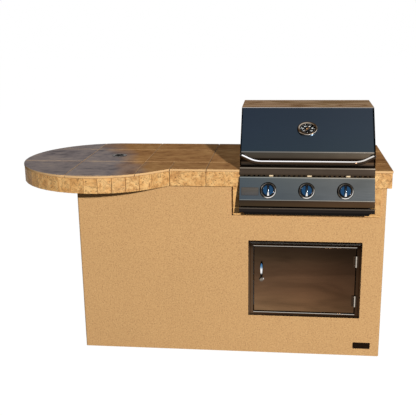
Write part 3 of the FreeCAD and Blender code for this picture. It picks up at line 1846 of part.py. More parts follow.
def below(z):
    """Everything under a height, round the grill."""
    return box(
        grill_left - cut_margin,
        grill_right + cut_margin,
        hood_front - cut_margin,
        rear_y,
        hood_hinge_z - 2 * hood_lug_radius,
        z,
    )


def hood_end_caps():
    """Flat end plates inside the shell, with lugs round the hinge pins."""
    inner = offset_line(hood_line(), grill_sheet)
    plates = []
    outline = inner + [(hood_hinge_y, hood_hinge_z - hood_lug_radius)]
    for x0 in (grill_left + cap_inset, grill_right - cap_inset - grill_sheet):
        x1 = x0 + grill_sheet
        plate = prism_x(outline, x0, x1)
        plate = round_x_edges(plate, inner[1:4], hood_bend_radius - grill_sheet)
        lug = cylinder(hood_lug_radius, (x0, hood_hinge_y, hood_hinge_z), (x1, hood_hinge_y, hood_hinge_z))
        hole = cylinder(
            hood_hinge_radius + running_clearance,
            (x0 - 1, hood_hinge_y, hood_hinge_z),
            (x1 + 1, hood_hinge_y, hood_hinge_z),
        )
        plates.append(fuse([plate, lug]).cut(hole).cut(below(hood_bottom)))
    return group(plates)


def hood_liner():
    """The inner heat shield, a second folded sheet between the end caps."""
    line = offset_line(hood_line()[:4], hood_liner_gap)
    line[0] = (line[0][0], hood_bottom + hood_liner_rise)
    x0 = grill_left + cap_inset + grill_sheet
    x1 = grill_right - cap_inset - grill_sheet
    shield = folded_sheet(line, grill_sheet, x0, x1)
    radius = gauge_stem_radius + liner_hole_clearance
    hole = Part.makeCylinder(radius, gauge_stem_length, Vector(0, 0, cut_margin - gauge_stem_length))
    return shield.cut(stand_on_slope(hole, facet_tilt, gauge_centre()))


def hood_hinge_brackets():
    """Upright brackets on the rim, each with the pin that carries one side of the hood."""
    brackets = []
    for side in (-1, 1):
        cap_depth = cap_inset + grill_sheet
        cap_inner = grill_left + cap_depth if side < 0 else grill_right - cap_depth
        near = cap_inner - side * hinge_plate_gap
        x0, x1 = sorted((near, near - side * hinge_plate_sheet))
        front = hood_hinge_y - hinge_plate_front
        rear = hood_hinge_y + hinge_plate_rear
        plate = box(x0, x1, front, rear, rim_top, hood_hinge_z)
        head = cylinder(hinge_plate_rear, (x0, hood_hinge_y, hood_hinge_z), (x1, hood_hinge_y, hood_hinge_z))
        pin_start = (x0 + x1) / 2
        pin_end = cap_inner + side * hinge_pin_reach
        pin = cylinder(
            hood_hinge_radius,
            (pin_start, hood_hinge_y, hood_hinge_z),
            (pin_end, hood_hinge_y, hood_hinge_z),
        )
        brackets.append(fuse([plate, head, pin]))
    return group(brackets)


def hood_handle():
    """A bowed tube: straight in the middle, with both ends swept back to the band."""
    foot_y = hood_front + band_lean * handle_foot_up / band_height
    foot_z = hood_bottom + handle_foot_up
    band_tilt = math.atan2(band_lean, band_height)
    normal = Vector(0, -math.cos(band_tilt), math.sin(band_tilt))
    left = grill_left + handle_end_inset
    right = grill_right - handle_end_inset
    out_y = foot_y - handle_stand_off
    out_z = foot_z - handle_drop
    end_y = foot_y - handle_end_gap
    points = [
        (left, end_y, foot_z),
        (left + handle_sweep, out_y, out_z),
        (right - handle_sweep, out_y, out_z),
        (right, end_y, foot_z),
    ]
    shapes = [pipe_along(points, handle_radius, handle_bend_radius)]
    for x in (left, right):
        seat = Vector(x, foot_y, foot_z)
        shapes.append(Part.makeCylinder(handle_foot_radius, handle_foot_length, seat, normal))
    return fuse(shapes)


def gauge_centre():
    """The thermometer's centre on the hood's facet."""
    line = hood_line()
    share = gauge_up_facet / math.hypot(facet_depth, facet_height)
    y = line[1][0] + share * facet_depth
    z = line[1][1] + share * facet_height
    return (bay_centre_x, y, z)


def thermometer_case():
    """The chrome oval case: a bezel round a shallow cup, and the probe behind it."""
    body = oval(0, 0, gauge_bezel_depth)
    top = [e for e in body.Edges if abs(e.BoundBox.ZMin - gauge_bezel_depth) < 0.01]
    body = body.makeChamfer(gauge_bevel, top)
    body = body.cut(oval(gauge_bezel_band, gauge_floor, gauge_bezel_depth + cut_margin))
    probe = Part.makeCylinder(gauge_stem_radius, gauge_stem_length, Vector(0, 0, -gauge_stem_length))
    body = body.fuse(probe).removeSplitter()
    body = body.cut(Part.makeCylinder(needle_bore, gauge_bezel_depth, Vector(0, 0, needle_seat)))
    return stand_on_slope(body, facet_tilt, gauge_centre())


def thermometer_dial():
    """The oval dial plate at the bottom of the cup."""
    plate = oval(gauge_bezel_band, gauge_floor, gauge_floor + gauge_dial_thickness)
    plate = plate.cut(Part.makeCylinder(needle_bore, gauge_bezel_depth))
    return stand_on_slope(plate, facet_tilt, gauge_centre())


def thermometer_needle():
    """The pointer with its hub and pivot, pointing to the low end of the scale."""
    base = gauge_floor + gauge_dial_thickness + seat_clearance
    half = needle_width / 2
    tip = needle_tip_width / 2
    outline = [(-half, -needle_tail), (half, -needle_tail), (tip, needle_length), (-tip, needle_length)]
    pointer = prism_z(outline, base, base + needle_thickness)
    hub = Part.makeCylinder(needle_hub_radius, needle_hub_height, Vector(0, 0, base))
    foot = needle_seat + seat_clearance
    pivot = Part.makeCylinder(needle_bore - running_clearance, base - needle_seat, Vector(0, 0, foot))
    body = fuse([pointer, hub, pivot])
    body.rotate(Vector(0, 0, 0), Vector(0, 0, 1), needle_rest_angle)
    return stand_on_slope(body, facet_tilt, gauge_centre())


def thermometer_lens():
    """The oval glass that sits in the bezel over the needle."""
    top = gauge_floor + gauge_dial_thickness + gauge_lens_gap
    glass = oval(gauge_bezel_band, top, top + gauge_lens_thickness)
    return stand_on_slope(glass, facet_tilt, gauge_centre())


# Places that need the functions above or more than one group of sizes
door_rim_y = base_front - door_sheet - door_flange_proud
door_face_y = door_rim_y + door_set_back
door_back_y = door_face_y + door_thickness
door_hinge_x = door_right - door_gap / 2
door_hinge_y = door_rim_y - hinge_barrel_radius
latch_x = door_left + door_gap + latch_inset
manifold_z = ledge_top + manifold_up
manifold_y = front_y - manifold_behind_edge
gas_line_y = base_rear - gas_line_from_rear
gas_bonnet_y = gas_line_y - gas_valve_radius - gas_bonnet_length
tray_top_z = lip_bottom_z - tray_below_lip


def build_parts():
    tiles = top_tiles()
    parts = {
        "frame_tracks": frame_tracks(),
        "frame_studs": frame_studs(),
        "overhang_brackets": overhang_brackets(),
        "front_boards": front_boards(),
        "end_boards": end_boards(),
        "rear_board": rear_board(),
        "stucco_skin": stucco_skin(),
        "end_vents": end_vents(),
        "counter_deck": counter_deck(),
        "top_tiles": tiles,
        "top_grout": top_grout(tiles),
        "edge_tiles": edge_tiles(),
        "grill_surround": grill_surround(),
        "umbrella_sleeve": umbrella_sleeve(),
        "door_frame": door_frame(),
        "frame_hinges": frame_hinges(),
        "inlet_pipe": inlet_pipe(),
        "gas_valve_body": gas_valve_body(),
        "feed_tube": feed_tube(),
        "gas_manifold": gas_manifold(),
        "valve_bodies": valve_bodies(),
        "firebox_shell": firebox_shell(),
        "firebox_liner": firebox_liner(),
        "grill_rim": rim(),
        "front_rail": front_rail(),
        "control_panel": control_panel(),
        "knob_bezels": knob_bezels(),
        "knob_lights": knob_lights(),
        "burner_tubes": burner_tubes(),
        "flame_tamers": flame_tamers(),
        "cooking_grates": cooking_grates(),
        "warming_rack": warming_rack(),
        "tray_runners": tray_runners(),
        "hood_hinge_brackets": hood_hinge_brackets(),
        "hood_shell": hood_shell(),
        "hood_end_caps": hood_end_caps(),
        "hood_liner": hood_liner(),
        "hood_handle": hood_handle(),
        "thermometer_case": thermometer_case(),
        "thermometer_dial": thermometer_dial(),
        "thermometer_lens": thermometer_lens(),
        "thermometer_needle": thermometer_needle(),
        "door_panel": door_panel(),
        "door_back": door_back(),
        "door_hinge_leaves": door_hinge_leaves(),
        "latch_rosette": latch_rosette(),
        "latch_lever": latch_lever(),
        "latch_shaft_and_cam": latch_shaft_and_cam(),
        "drip_tray": drip_tray(),
        "gas_valve_lever": gas_valve_lever(),
    }
    for name, x in zip(knob_names, burner_places):
        parts["knob_" + name] = knob(x)
        parts["valve_stem_" + name] = valve_stem(x)
        parts["valve_plunger_" + name] = valve_plunger(x)
    return parts


os.makedirs("parts", exist_ok=True)
for name, shape in build_parts().items():
    if not shape.isValid():
        print("not valid:", name)
    shape.exportStep(os.path.join("parts", name + ".step"))
    bounds = shape.BoundBox
    limits = [bounds.XMin, bounds.XMax, bounds.YMin, bounds.YMax, bounds.ZMin, bounds.ZMax]
    print(name, len(shape.Solids), [round(value, 1) for value in limits])
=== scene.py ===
# %% [markdown]
# An outdoor kitchen island: a stucco base, a tiled counter with a round bar end, a built-in gas grill and an
# access door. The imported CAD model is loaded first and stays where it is. Blender gives each part its real
# finish, softens folded edges, and models small turned and tiled things again in finer detail.

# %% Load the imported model
from math import atan2, cos, degrees, pi, radians, sin, sqrt, tan
import json
import bpy
import bmesh
from mathutils import Matrix, Vector

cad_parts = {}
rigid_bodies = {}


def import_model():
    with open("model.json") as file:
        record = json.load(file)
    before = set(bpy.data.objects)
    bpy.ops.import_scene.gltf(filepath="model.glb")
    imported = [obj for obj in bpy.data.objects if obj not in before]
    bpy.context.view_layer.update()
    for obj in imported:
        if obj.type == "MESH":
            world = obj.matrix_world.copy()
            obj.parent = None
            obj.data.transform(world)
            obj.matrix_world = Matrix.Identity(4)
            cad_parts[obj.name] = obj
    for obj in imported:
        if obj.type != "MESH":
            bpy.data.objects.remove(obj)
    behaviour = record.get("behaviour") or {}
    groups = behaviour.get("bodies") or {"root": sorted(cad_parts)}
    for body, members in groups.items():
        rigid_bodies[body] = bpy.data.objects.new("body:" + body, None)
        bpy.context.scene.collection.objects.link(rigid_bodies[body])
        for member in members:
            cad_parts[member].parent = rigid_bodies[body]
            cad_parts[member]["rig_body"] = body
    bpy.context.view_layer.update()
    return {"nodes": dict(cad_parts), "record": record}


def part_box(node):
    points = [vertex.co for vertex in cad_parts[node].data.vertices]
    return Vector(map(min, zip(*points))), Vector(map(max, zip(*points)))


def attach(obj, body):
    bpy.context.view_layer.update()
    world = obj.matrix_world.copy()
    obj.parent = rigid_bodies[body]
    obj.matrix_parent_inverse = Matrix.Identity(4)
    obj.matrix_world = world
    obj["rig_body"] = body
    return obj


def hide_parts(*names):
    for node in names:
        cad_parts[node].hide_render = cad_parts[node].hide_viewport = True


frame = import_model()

nodes = frame["nodes"]
scene = bpy.context.scene
MM = 0.001


def linked(name, data):
    """A new object in the scene."""
    thing = bpy.data.objects.new(name, data)
    scene.collection.objects.link(thing)
    return thing


# %% [markdown]
# Colours are written as the sRGB hex values that a picture shows, and one function turns them into the linear
# light that shaders use. Patterns are sized in millimetres, and another function turns a real size into a
# texture's scale, which is how many cells fit in a metre.

# %% Colours and pattern sizes
def linear(hex_colour):
    """An sRGB hex colour as linear red, green, blue and alpha."""
    channels = [int(hex_colour[i:i + 2], 16) / 255 for i in (0, 2, 4)]
    return [c / 12.92 if c <= 0.04045 else ((c + 0.055) / 1.055) ** 2.4 for c in channels] + [1]


def cells(size_mm):
    """A texture's scale for cells of this size on coordinates in metres."""
    return 1000 / size_mm


print("sand colour, linear:", [round(c, 3) for c in linear("d4a570")])

# %% [markdown]
# One small function adds a node, sets its properties, and fills the inputs that its mode leaves open with
# values or links. A node given as an input stands for its first open output. A colour ramp's stops are places
# and colours in one line of text.

# %% One function adds every node
def fill(node, *values, **named):
    """Fill a node's open inputs, in order or by name, with values, sockets or nodes."""
    sockets = [socket for socket in node.inputs if socket.enabled]
    by_name = {socket.name.replace(" ", "_"): socket for socket in sockets}
    for socket, value in list(zip(sockets, values)) + [(by_name[key], named[key]) for key in named]:
        if isinstance(value, bpy.types.Node):
            value = next(output for output in value.outputs if output.enabled)
        if isinstance(value, bpy.types.NodeSocket):
            node.id_data.links.new(value, socket)
        else:
            socket.default_value = value


def add(tree, kind, *values, stops="", **named):
    """A new node. Kind may leave out "ShaderNode"; names in small letters are settings, others inputs."""
    node = tree.nodes.new(kind if "Node" in kind else "ShaderNode" + kind)
    for key in [key for key in named if key.islower()]:
        setattr(node, key, named.pop(key))
    fill(node, *values, **named)
    if stops:
        elements, stops = node.color_ramp.elements, stops.split(", ")
        while len(elements) < len(stops):
            elements.new(0.5)
        for element, stop in zip(elements, stops):
            place, hex_colour = stop.split()
            element.position = float(place)
            element.color = linear(hex_colour)
    return node


def new_finish(name, **constants):
    """A material, its tree, shader and texture coordinates; the constants are inputs of the shader."""
    material = bpy.data.materials.new(name)
    material.use_nodes = True
    tree = material.node_tree
    shader = tree.nodes["Principled BSDF"]
    fill(shader, **constants)
    return material, tree, shader, add(tree, "TexCoord").outputs


print("materials so far:", len(bpy.data.materials))

# %% [markdown]
# The camera stands a little right of the middle, about 3.4 m in front, at head height, and looks down by 15
# degrees. Its place was worked out from edges of the object whose sizes are known.

# %% Camera
camera_place = Vector((0.4035, -3.3989, 1.6098))
yaw, pitch, roll = (radians(a) for a in (-6.4234, 15.4249, 0.77464))
forward = Vector((sin(yaw) * cos(pitch), cos(yaw) * cos(pitch), -sin(pitch)))
level = Vector((cos(yaw), -sin(yaw), 0))
down = forward.cross(level)
right = cos(roll) * level + sin(roll) * down
below = -sin(roll) * level + cos(roll) * down
camera_data = bpy.data.cameras.new("camera")
camera_data.sensor_fit = "HORIZONTAL"
camera_data.sensor_width = 36.0
camera_data.lens = 61.98
camera = linked("camera", camera_data)
turn = Matrix((right, -below, -forward)).transposed().to_4x4()
camera.matrix_world = Matrix.Translation(camera_place) @ turn
scene.camera = camera
print("camera looks along", [round(c, 3) for c in forward])

# %% [markdown]
# The studio is plain. A key lamp far to the front right lets the hood throw a long shadow over the tiles. A
# wide soft lamp stands behind, and a faint cool one hangs above, which keeps that shadow from going brown.
# Metal and glass have nothing to mirror but the pale surround, so camera, glossy and transmission rays see it
# as white, while the light that it gives is low and shadows stay dark. The floor looks white in the same way.

# %% Lamps and surround
def soft_lamp(name, place, target, size, watts, colour="ffffff"):
    """A square area lamp that faces a target."""
    data = bpy.data.lights.new(name, "AREA")
    data.shape = "SQUARE"
    data.size = size
    data.energy = watts
    data.color = linear(colour)[:3]
    lamp = linked(name, data)
    lamp.location = place
    lamp.rotation_euler = (Vector(target) - Vector(place)).to_track_quat("-Z", "Y").to_euler()


soft_lamp("key_lamp", (4.2, -9.6, 4.2), (0, -0.2, 0.7), 0.3, 1350)
soft_lamp("rear_lamp", (-3.4, 5.6, 3.3), (0, 0, 0.6), 6.4, 165)
soft_lamp("sky_lamp", (-0.6, 0.6, 5), (-0.2, 0, 0.9), 3.5, 32, "cfe0ff")


def seen_by(tree, first, *others):
    """1 on rays of these kinds, 0 on the rest."""
    rays = add(tree, "LightPath").outputs
    seen = rays["Is " + first + " Ray"]
    for kind in others:
        seen = add(tree, "Math", seen, rays["Is " + kind + " Ray"], operation="MAXIMUM")
    return seen


def empty_tree(owner):
    """The cleared node tree of a world or a material."""
    owner.use_nodes = True
    owner.node_tree.nodes.clear()
    return owner.node_tree


scene.world = bpy.data.worlds.new("pale_surround")
tree = empty_tree(scene.world)
seen = seen_by(tree, "Camera", "Glossy", "Transmission")
strength = add(tree, "MapRange", seen, To_Min=0.04, To_Max=1)
surround = add(tree, "Background", Color=linear("ffffff"), Strength=strength)
add(tree, "OutputWorld", Surface=surround)
scene.view_settings.view_transform = "Standard"

# %% Floor
floor_mesh = bpy.data.meshes.new("studio_floor")
floor_mesh.from_pydata([(-14, -11, 0), (14, -11, 0), (14, 22, 0), (-14, 22, 0)], [], [(0, 1, 2, 3)])
floor = linked("studio_floor", floor_mesh)
floor_paint = bpy.data.materials.new("pale_floor")
tree = empty_tree(floor_paint)
share = add(tree, "Math", seen_by(tree, "Camera", "Glossy"), 0.8, operation="MULTIPLY")
matt = add(tree, "BsdfDiffuse", Color=linear("6b6967"))
white = add(tree, "Emission", Color=linear("ffffff"), Strength=1.25)
blend = add(tree, "MixShader", share, matt, white)
add(tree, "OutputMaterial", Surface=blend)
floor_mesh.materials.append(floor_paint)
print("floor covers", tuple(round(d, 1) for d in floor.dimensions), "m")

# %% [markdown]
# The base has acrylic stucco, floated with fine sand. The grains are about 1 mm, too fine to show from 3 m,
# so they are drawn at 6 mm. They give small dark pits and light tops, and the float leaves faint changes of
# tone about two hands wide.

# %% Finish: sand-finished acrylic stucco
stucco, tree, shader, where = new_finish("sand_finished_stucco", Roughness=0.92, Specular_IOR_Level=0.2)
grain = add(tree, "TexNoise", where["Object"], Scale=cells(6), Detail=3, Roughness=0.7)
float_marks = add(tree, "TexNoise", where["Object"], Scale=cells(300), Detail=2)
sand = add(tree, "ValToRGB", grain, stops="0.3 a87e55, 0.45 c79b68, 0.6 cfa46e, 0.76 dcb583")
tone = add(tree, "MapRange", float_marks, From_Min=0.3, From_Max=0.7, To_Min=0.98, To_Max=1.02)
colour = add(tree, "VectorMath", sand, Scale=tone, operation="SCALE")
relief = add(tree, "Bump", Height=grain, Strength=0.4, Distance=0.002)
fill(shader, Base_Color=colour, Normal=relief)
print("made", stucco.name)

# %% [markdown]
# The top tiles are 300 mm porcelain with a slate look: brown and grey clouds, darker veins along soft
# cleft lines, and a satin glaze. They run from slate grey at the round end to golden brown in the middle,
# a change that is a painted reflection of sky at the round end and of brown surroundings further right.
# Each tile is a separate island of one mesh, so Random Per Island shifts its tone. The cut edges show
# the pale clay body, which gives the counter its thin light rim.

# %% Finish: slate-look porcelain
slate, tree, shader, where = new_finish("slate_look_porcelain", Specular_IOR_Level=0)
shape = add(tree, "NewGeometry").outputs
shift = add(tree, "VectorMath", where["Object"], shape["Random Per Island"], operation="ADD")
clouds = add(tree, "TexNoise", shift, Scale=cells(170), Detail=8, Roughness=0.62, Distortion=0.8)
drawn = add(tree, "Mapping", shift, Scale=(cells(60), cells(34), cells(34)))
streaks = add(tree, "TexNoise", drawn, Scale=1, Detail=6, Roughness=0.65, Distortion=0.6)
cleft = add(tree, "Mix", 0.5, clouds, streaks)
place = add(tree, "SeparateXYZ", where["Object"]).outputs
slant = add(tree, "Math", place["Y"], 0.41, place["X"], operation="MULTIPLY_ADD")
along = add(tree, "MapRange", slant, From_Min=-0.53, From_Max=-0.23)
# Both ramps hold the tile's own clouds, in tones that carry a painted reflection: sky grey and brown.
slate_with_painted_sky = add(tree, "ValToRGB", cleft, stops="0.34 605857, 0.46 8b7f7a, 0.56 9c8d84, 0.68 b9a288")
slate_with_painted_brown = add(tree, "ValToRGB", cleft, stops="0.34 855c37, 0.46 ab7a4b, 0.56 bb8a56, 0.68 d2a167")
wave = add(tree, "TexNoise", shift, Scale=cells(260), Detail=2)
both = add(tree, "Math", along, wave, operation="ADD")
painted_reflection_share = add(tree, "MapRange", both, From_Min=0.75, From_Max=1.25)
stone = add(tree, "Mix", painted_reflection_share, slate_with_painted_sky, slate_with_painted_brown, data_type="RGBA")
tile_tone = add(tree, "MapRange", shape["Random Per Island"], To_Min=0.92, To_Max=1.08)
stone = add(tree, "VectorMath", stone, Scale=tile_tone, operation="SCALE")
facing = add(tree, "SeparateXYZ", shape["True Normal"]).outputs
is_top = add(tree, "Math", facing["Z"], 0.75, operation="GREATER_THAN")
body = add(tree, "Mix", is_top, linear("dcb27e"), stone, data_type="RGBA")
gloss = add(tree, "MapRange", clouds, To_Min=0.68, To_Max=0.5)
relief = add(tree, "Bump", Height=clouds, Strength=0.35, Distance=0.003)
fill(shader, Base_Color=body, Roughness=gloss, Normal=relief)
print("made", slate.name)

# %% [markdown]
# The edge tiles look like tumbled travertine: a pale gold body with brown clouds, thin winding veins and
# small dark pits. A vein is where a noise crosses its middle value, so the distance from that value is
# turned into a narrow dark line. As on the slate, each tile has its own part of the pattern.

# %% Finish: travertine-look edge tile
def travertine(name, pale, gold, brown, vein, depth):
    """The same stone in the tones of one part; depth is how far its veins darken it."""
    material, tree, shader, where = new_finish(name, Specular_IOR_Level=0.3, Roughness=0.55)
    shape = add(tree, "NewGeometry").outputs
    far = add(tree, "Math", shape["Random Per Island"], 9, operation="MULTIPLY")
    shift = add(tree, "VectorMath", where["Object"], far, operation="ADD")
    clouds = add(tree, "TexNoise", shift, Scale=cells(34), Detail=6, Roughness=0.65, Distortion=0.5)
    winding = add(tree, "TexNoise", shift, Scale=cells(75), Detail=5, Roughness=0.7, Distortion=2.2)
    pits = add(tree, "TexNoise", shift, Scale=cells(9), Detail=2)
    stone = add(tree, "ValToRGB", clouds, stops=f"0.3 {brown}, 0.45 {gold}, 0.6 {pale}")
    off = add(tree, "Math", winding, 0.5, operation="SUBTRACT")
    off = add(tree, "Math", off, operation="ABSOLUTE")
    line = add(tree, "MapRange", off, From_Max=0.035, To_Min=depth, To_Max=0)
    hole = add(tree, "MapRange", pits, From_Min=0.6, From_Max=0.7, To_Max=0.8)
    dark = add(tree, "Math", line, hole, operation="MAXIMUM")
    stone = add(tree, "Mix", dark, stone, linear(vein), data_type="RGBA")
    own = add(tree, "MapRange", shape["Random Per Island"], To_Min=0.9, To_Max=1.06)
    stone = add(tree, "VectorMath", stone, Scale=own, operation="SCALE")
    relief = add(tree, "Bump", Height=dark, Strength=0.4, Distance=0.001, invert=True)
    fill(shader, Base_Color=stone, Normal=relief)
    return material


edge_stone = travertine("travertine_look_edge_tile", "e6b878", "d8a261", "b27f48", "6b4520", 0.6)
leg_stone = travertine("travertine_look_trim", "dcac6d", "d09c5c", "b38350", "7f562d", 0.35)
print("made", edge_stone.name, "and", leg_stone.name)

# %% [markdown]
# Many small finishes differ only in tones, grain and gloss, so one function makes them: matt grout and cement
# board here, and brass, cast aluminium, enamel, paint, vinyl and print later.

# %% Finish: sanded grout and cement board
def speckled(name, low, high, grain_mm, roughness, relief_mm, spread=0.06, detail=4, fine=0.5, bump=0.3,
        **constants):
    """A surface speckled between two tones, whose gloss drifts by spread both ways."""
    material, tree, shader, where = new_finish(name, Roughness=roughness, **constants)
    size = cells(grain_mm)
    grain = add(tree, "TexNoise", where["Object"], Scale=size, Detail=detail, Roughness=fine)
    tone = add(tree, "ValToRGB", grain, stops=f"0.3 {low}, 0.7 {high}")
    relief = add(tree, "Bump", Height=grain, Strength=bump, Distance=relief_mm * MM)
    fill(shader, Base_Color=tone, Normal=relief)
    if spread:
        gloss = add(tree, "MapRange", grain, To_Min=roughness - spread, To_Max=roughness + spread)
        fill(shader, Roughness=gloss)
    return material


mineral = {"spread": 0, "detail": 5, "fine": 0.7, "bump": 0.5, "Specular_IOR_Level": 0.15}
sanded_grout = speckled("sanded_grout", "574636", "7d6850", 4, 0.95, 0.6, **mineral)
cement = speckled("glass_mesh_cement_board", "85827b", "a5a299", 14, 0.95, 0.5, **mineral)
print("made", sanded_grout.name, "and", cement.name)

# %% [markdown]
# Most of the grill is stainless sheet, brushed along its length. The scratches are about 0.1 mm wide and a
# hand long, drawn 1 mm wide here so that they show. They change the gloss and the normal a little, so a
# mirrored lamp stretches across them. Outdoors the sheets mirror dark sky above and brown ground below, and
# read as blue-grey or brown. A plain studio has neither, so that change of tone is painted into each sheet's
# colour as a painted reflection, along with painted highlight lines on bent edges and painted shade in gaps.

# %% Finish: brushed stainless sheet
grill_left, grill_right = 0.195, 0.795


def brushed(name, low_mm, high_mm, stops, roughness=0.2, axis="Z", streak=0.1, top=None, rear=None,
        across=None, edge="b5afa7", glance=None, cloud=0):
    """Brushed steel whose tone follows one axis between two places in mm.

    Top and rear faces may have tones of their own, the top ones a painted sheen, highlight or shade; across
    paints reflection and shade over the grill's width, edge is the tint at a flat angle of view, glance
    paints a reflection on level faces as a ramp of that tint, and cloud is the depth of slow level changes of
    tone.
    The tone along the axis is itself a painted reflection with painted highlight and shade lines."""
    material, tree, shader, where = new_finish(name, Metallic=1, Specular_Tint=linear(edge))
    place = add(tree, "SeparateXYZ", where["Object"]).outputs
    facing = add(tree, "SeparateXYZ", where["Normal"]).outputs
    share = add(tree, "MapRange", place[axis], From_Min=low_mm * MM, From_Max=high_mm * MM)
    # The ramp along the axis paints reflection, highlight lines and shade.
    tone = add(tree, "ValToRGB", share, stops=stops)
    # Across paints reflection and shade over the grill's width.
    if across:
        along = add(tree, "MapRange", place["X"], From_Min=grill_left, From_Max=grill_right)
        side = add(tree, "ValToRGB", along, stops=across)
        tone = add(tree, "Mix", 1, tone, side, data_type="RGBA", blend_type="MULTIPLY")
    stretch = (cells(340), cells(75), cells(75))
    waves = add(tree, "Mapping", where["Object"], Scale=stretch)
    waves = add(tree, "TexNoise", waves, Scale=1, Detail=2.5, Distortion=1.2)
    flat = add(tree, "Math", facing["Z"], 0.65, operation="GREATER_THAN")
    # Glance paints wavy reflections into the tint that level faces show at a flat angle.
    if glance:
        tint = add(tree, "ValToRGB", waves, stops=glance)
        tint = add(tree, "Mix", flat, linear(edge), tint, data_type="RGBA")
        fill(shader, Specular_Tint=tint)
    # Top paints a sheen, highlight or shade on level faces.
    if top:
        sheen = add(tree, "ValToRGB", waves, stops=top)
        tone = add(tree, "Mix", flat, tone, sheen, data_type="RGBA")
    if rear:
        back = add(tree, "Math", facing["Y"], 0.3, operation="GREATER_THAN")
        tone = add(tree, "Mix", back, tone, linear(rear), data_type="RGBA")
    stretch = (cells(90), cells(1.2), cells(1.2))
    lines = add(tree, "Mapping", where["Object"], Scale=stretch)
    lines = add(tree, "TexNoise", lines, Scale=1, Detail=3, Roughness=0.6)
    smudge = add(tree, "TexNoise", where["Object"], Scale=cells(120), Detail=3)
    shade = add(tree, "MapRange", lines, From_Min=0.25, From_Max=0.75, To_Min=1 - streak, To_Max=1 + streak)
    drift = add(tree, "MapRange", waves, From_Min=0.3, From_Max=0.7, To_Min=1 - cloud, To_Max=1 + cloud)
    shade = add(tree, "Math", shade, drift, operation="MULTIPLY")
    tone = add(tree, "VectorMath", tone, Scale=shade, operation="SCALE")
    mixed = add(tree, "Math", lines, smudge, operation="ADD")
    gloss = add(tree, "MapRange", mixed, From_Min=0.6, From_Max=1.4, To_Min=roughness - 0.03,
        To_Max=roughness + 0.04)
    relief = add(tree, "Bump", Height=lines, Strength=0.05, Distance=0.0004)
    fill(shader, Base_Color=tone, Roughness=gloss, Normal=relief)
    return material


# The hood's ramp: brown painted ground reflection on the band below the fold, a dark painted shadow behind
# the handle, a painted highlight line on the fold and blue-grey painted sky reflection on the slope. Top
# paints a sheen on the crown, glance paints wavy brown reflections into its tint, and across paints shade on
# both ends and turns the slope's reflection from blue at the left to grey at the right.
hood_steel = brushed("brushed_stainless_hood", 936, 1182,
    "0 241b15, 0.015 332b24, 0.03 43352a, 0.045 4f3d2c, 0.06 3c2d20, 0.07 1d130c, 0.12 1d140e, "
    "0.133 4a3e32, 0.16 504539, 0.2 50473c, 0.227 50473d, 0.234 8d867c, 0.243 8d867c, "
    "0.25 38424a, 0.6 37404a, 1 353d47", roughness=0.15, streak=0.04, rear="77797b", edge="aaa59e",
    top="0.4 a09b94, 0.6 b0aba4", glance="0.38 8d7153, 0.46 b29577, 0.52 9f8063, 0.56 7f6247, 0.62 aa8c70",
    across="0 20252b, 0.007 20252b, 0.012 d6dfea, 0.5 e4e9ee, 0.985 ffffff, 0.99 2d2926, 1 2d2926")
# The panel's ramp: dark painted shade at its foot, brown painted reflection on the lower lip, painted
# highlight lines on the lip's edge and on the top edge, and dark brown above it. Across turns the painted
# reflection from blue-grey at the left to light grey at the right.
panel_steel = brushed("brushed_stainless_panel", 756, 893,
    "0 120c08, 0.015 120c08, 0.03 58432f, 0.09 56412e, 0.205 49372a, 0.212 49372a, 0.218 b3ada1, "
    "0.226 b3ada1, 0.235 63676a, 0.6 676a6b, 0.9 6c6e6d, 0.918 c6bfb3, 0.93 c6bfb3, "
    "0.935 4a3a29, 1 4a3a29", roughness=0.12, streak=0.06, cloud=0.04,
    across="0 bccbd8, 0.35 d3dade, 0.7 efefee, 1 dcdbd8")
# The rail's ramp: a painted highlight line across its face, and dark painted shade above it, under the hood's
# edge. Its top faces and its flat-angle tint are dark as painted shade too.
rail_steel = brushed("brushed_stainless_rail", 893, 933,
    "0 40352b, 0.25 4c4137, 0.6 473c33, 0.69 3d342c, 0.73 95897a, 0.79 8b8072, 0.83 2a2119, "
    "0.88 1b1510, 1 1b1510", roughness=0.13, top="0.4 1d1711, 0.6 2b2219", edge="5a5047")
# The tray front gets lighter towards its top edge, a painted highlight.
tray_steel = brushed("brushed_stainless_tray", 732, 753,
    "0 1a1716, 0.35 2b2624, 0.6 211c1a, 0.82 3f3833, 0.95 655b50")
# The door's ramp darkens upwards, a painted reflection of brown ground; top paints a highlight on its top
# edge, and across darkens it towards the right as part of that painted reflection.
door_steel = brushed("brushed_stainless_door", 224, 546,
    "0 755a40, 0.3 6a4f39, 0.6 56402f, 0.85 3d2f22, 1 33271d", streak=0.14, cloud=0.2,
    top="0.4 a79f94, 0.6 c2bbb0", across="0.1 ffffff, 0.5 f4ece8, 0.75 c9c0bc, 0.9 b4aeac")
# The frame's ramp is darker at its bottom edge and towards its top, painted shade and reflection; top paints
# a highlight on its top faces, and across darkens it towards the right in the same way.
frame_steel = brushed("brushed_stainless_door_frame", 197, 573,
    "0 30251b, 0.05 5c4735, 0.5 584331, 0.9 423225, 0.94 2a1f17, 1 1c1510", cloud=0.08,
    top="0.4 7f7a73, 0.6 9a948c", across="0.1 ffffff, 0.2 d2c8c0, 0.9 aaa29b")
# Along X, the hinge ramp paints a highlight on the barrels and dark brown painted reflection on the leaves.
leaf_steel = brushed("hinge_steel", 720, 743,
    "0 3a2c21, 0.34 3a2c21, 0.4 c4bbae, 0.58 a1978b, 0.64 3a2c21, 1 2f241b", axis="X", roughness=0.24)
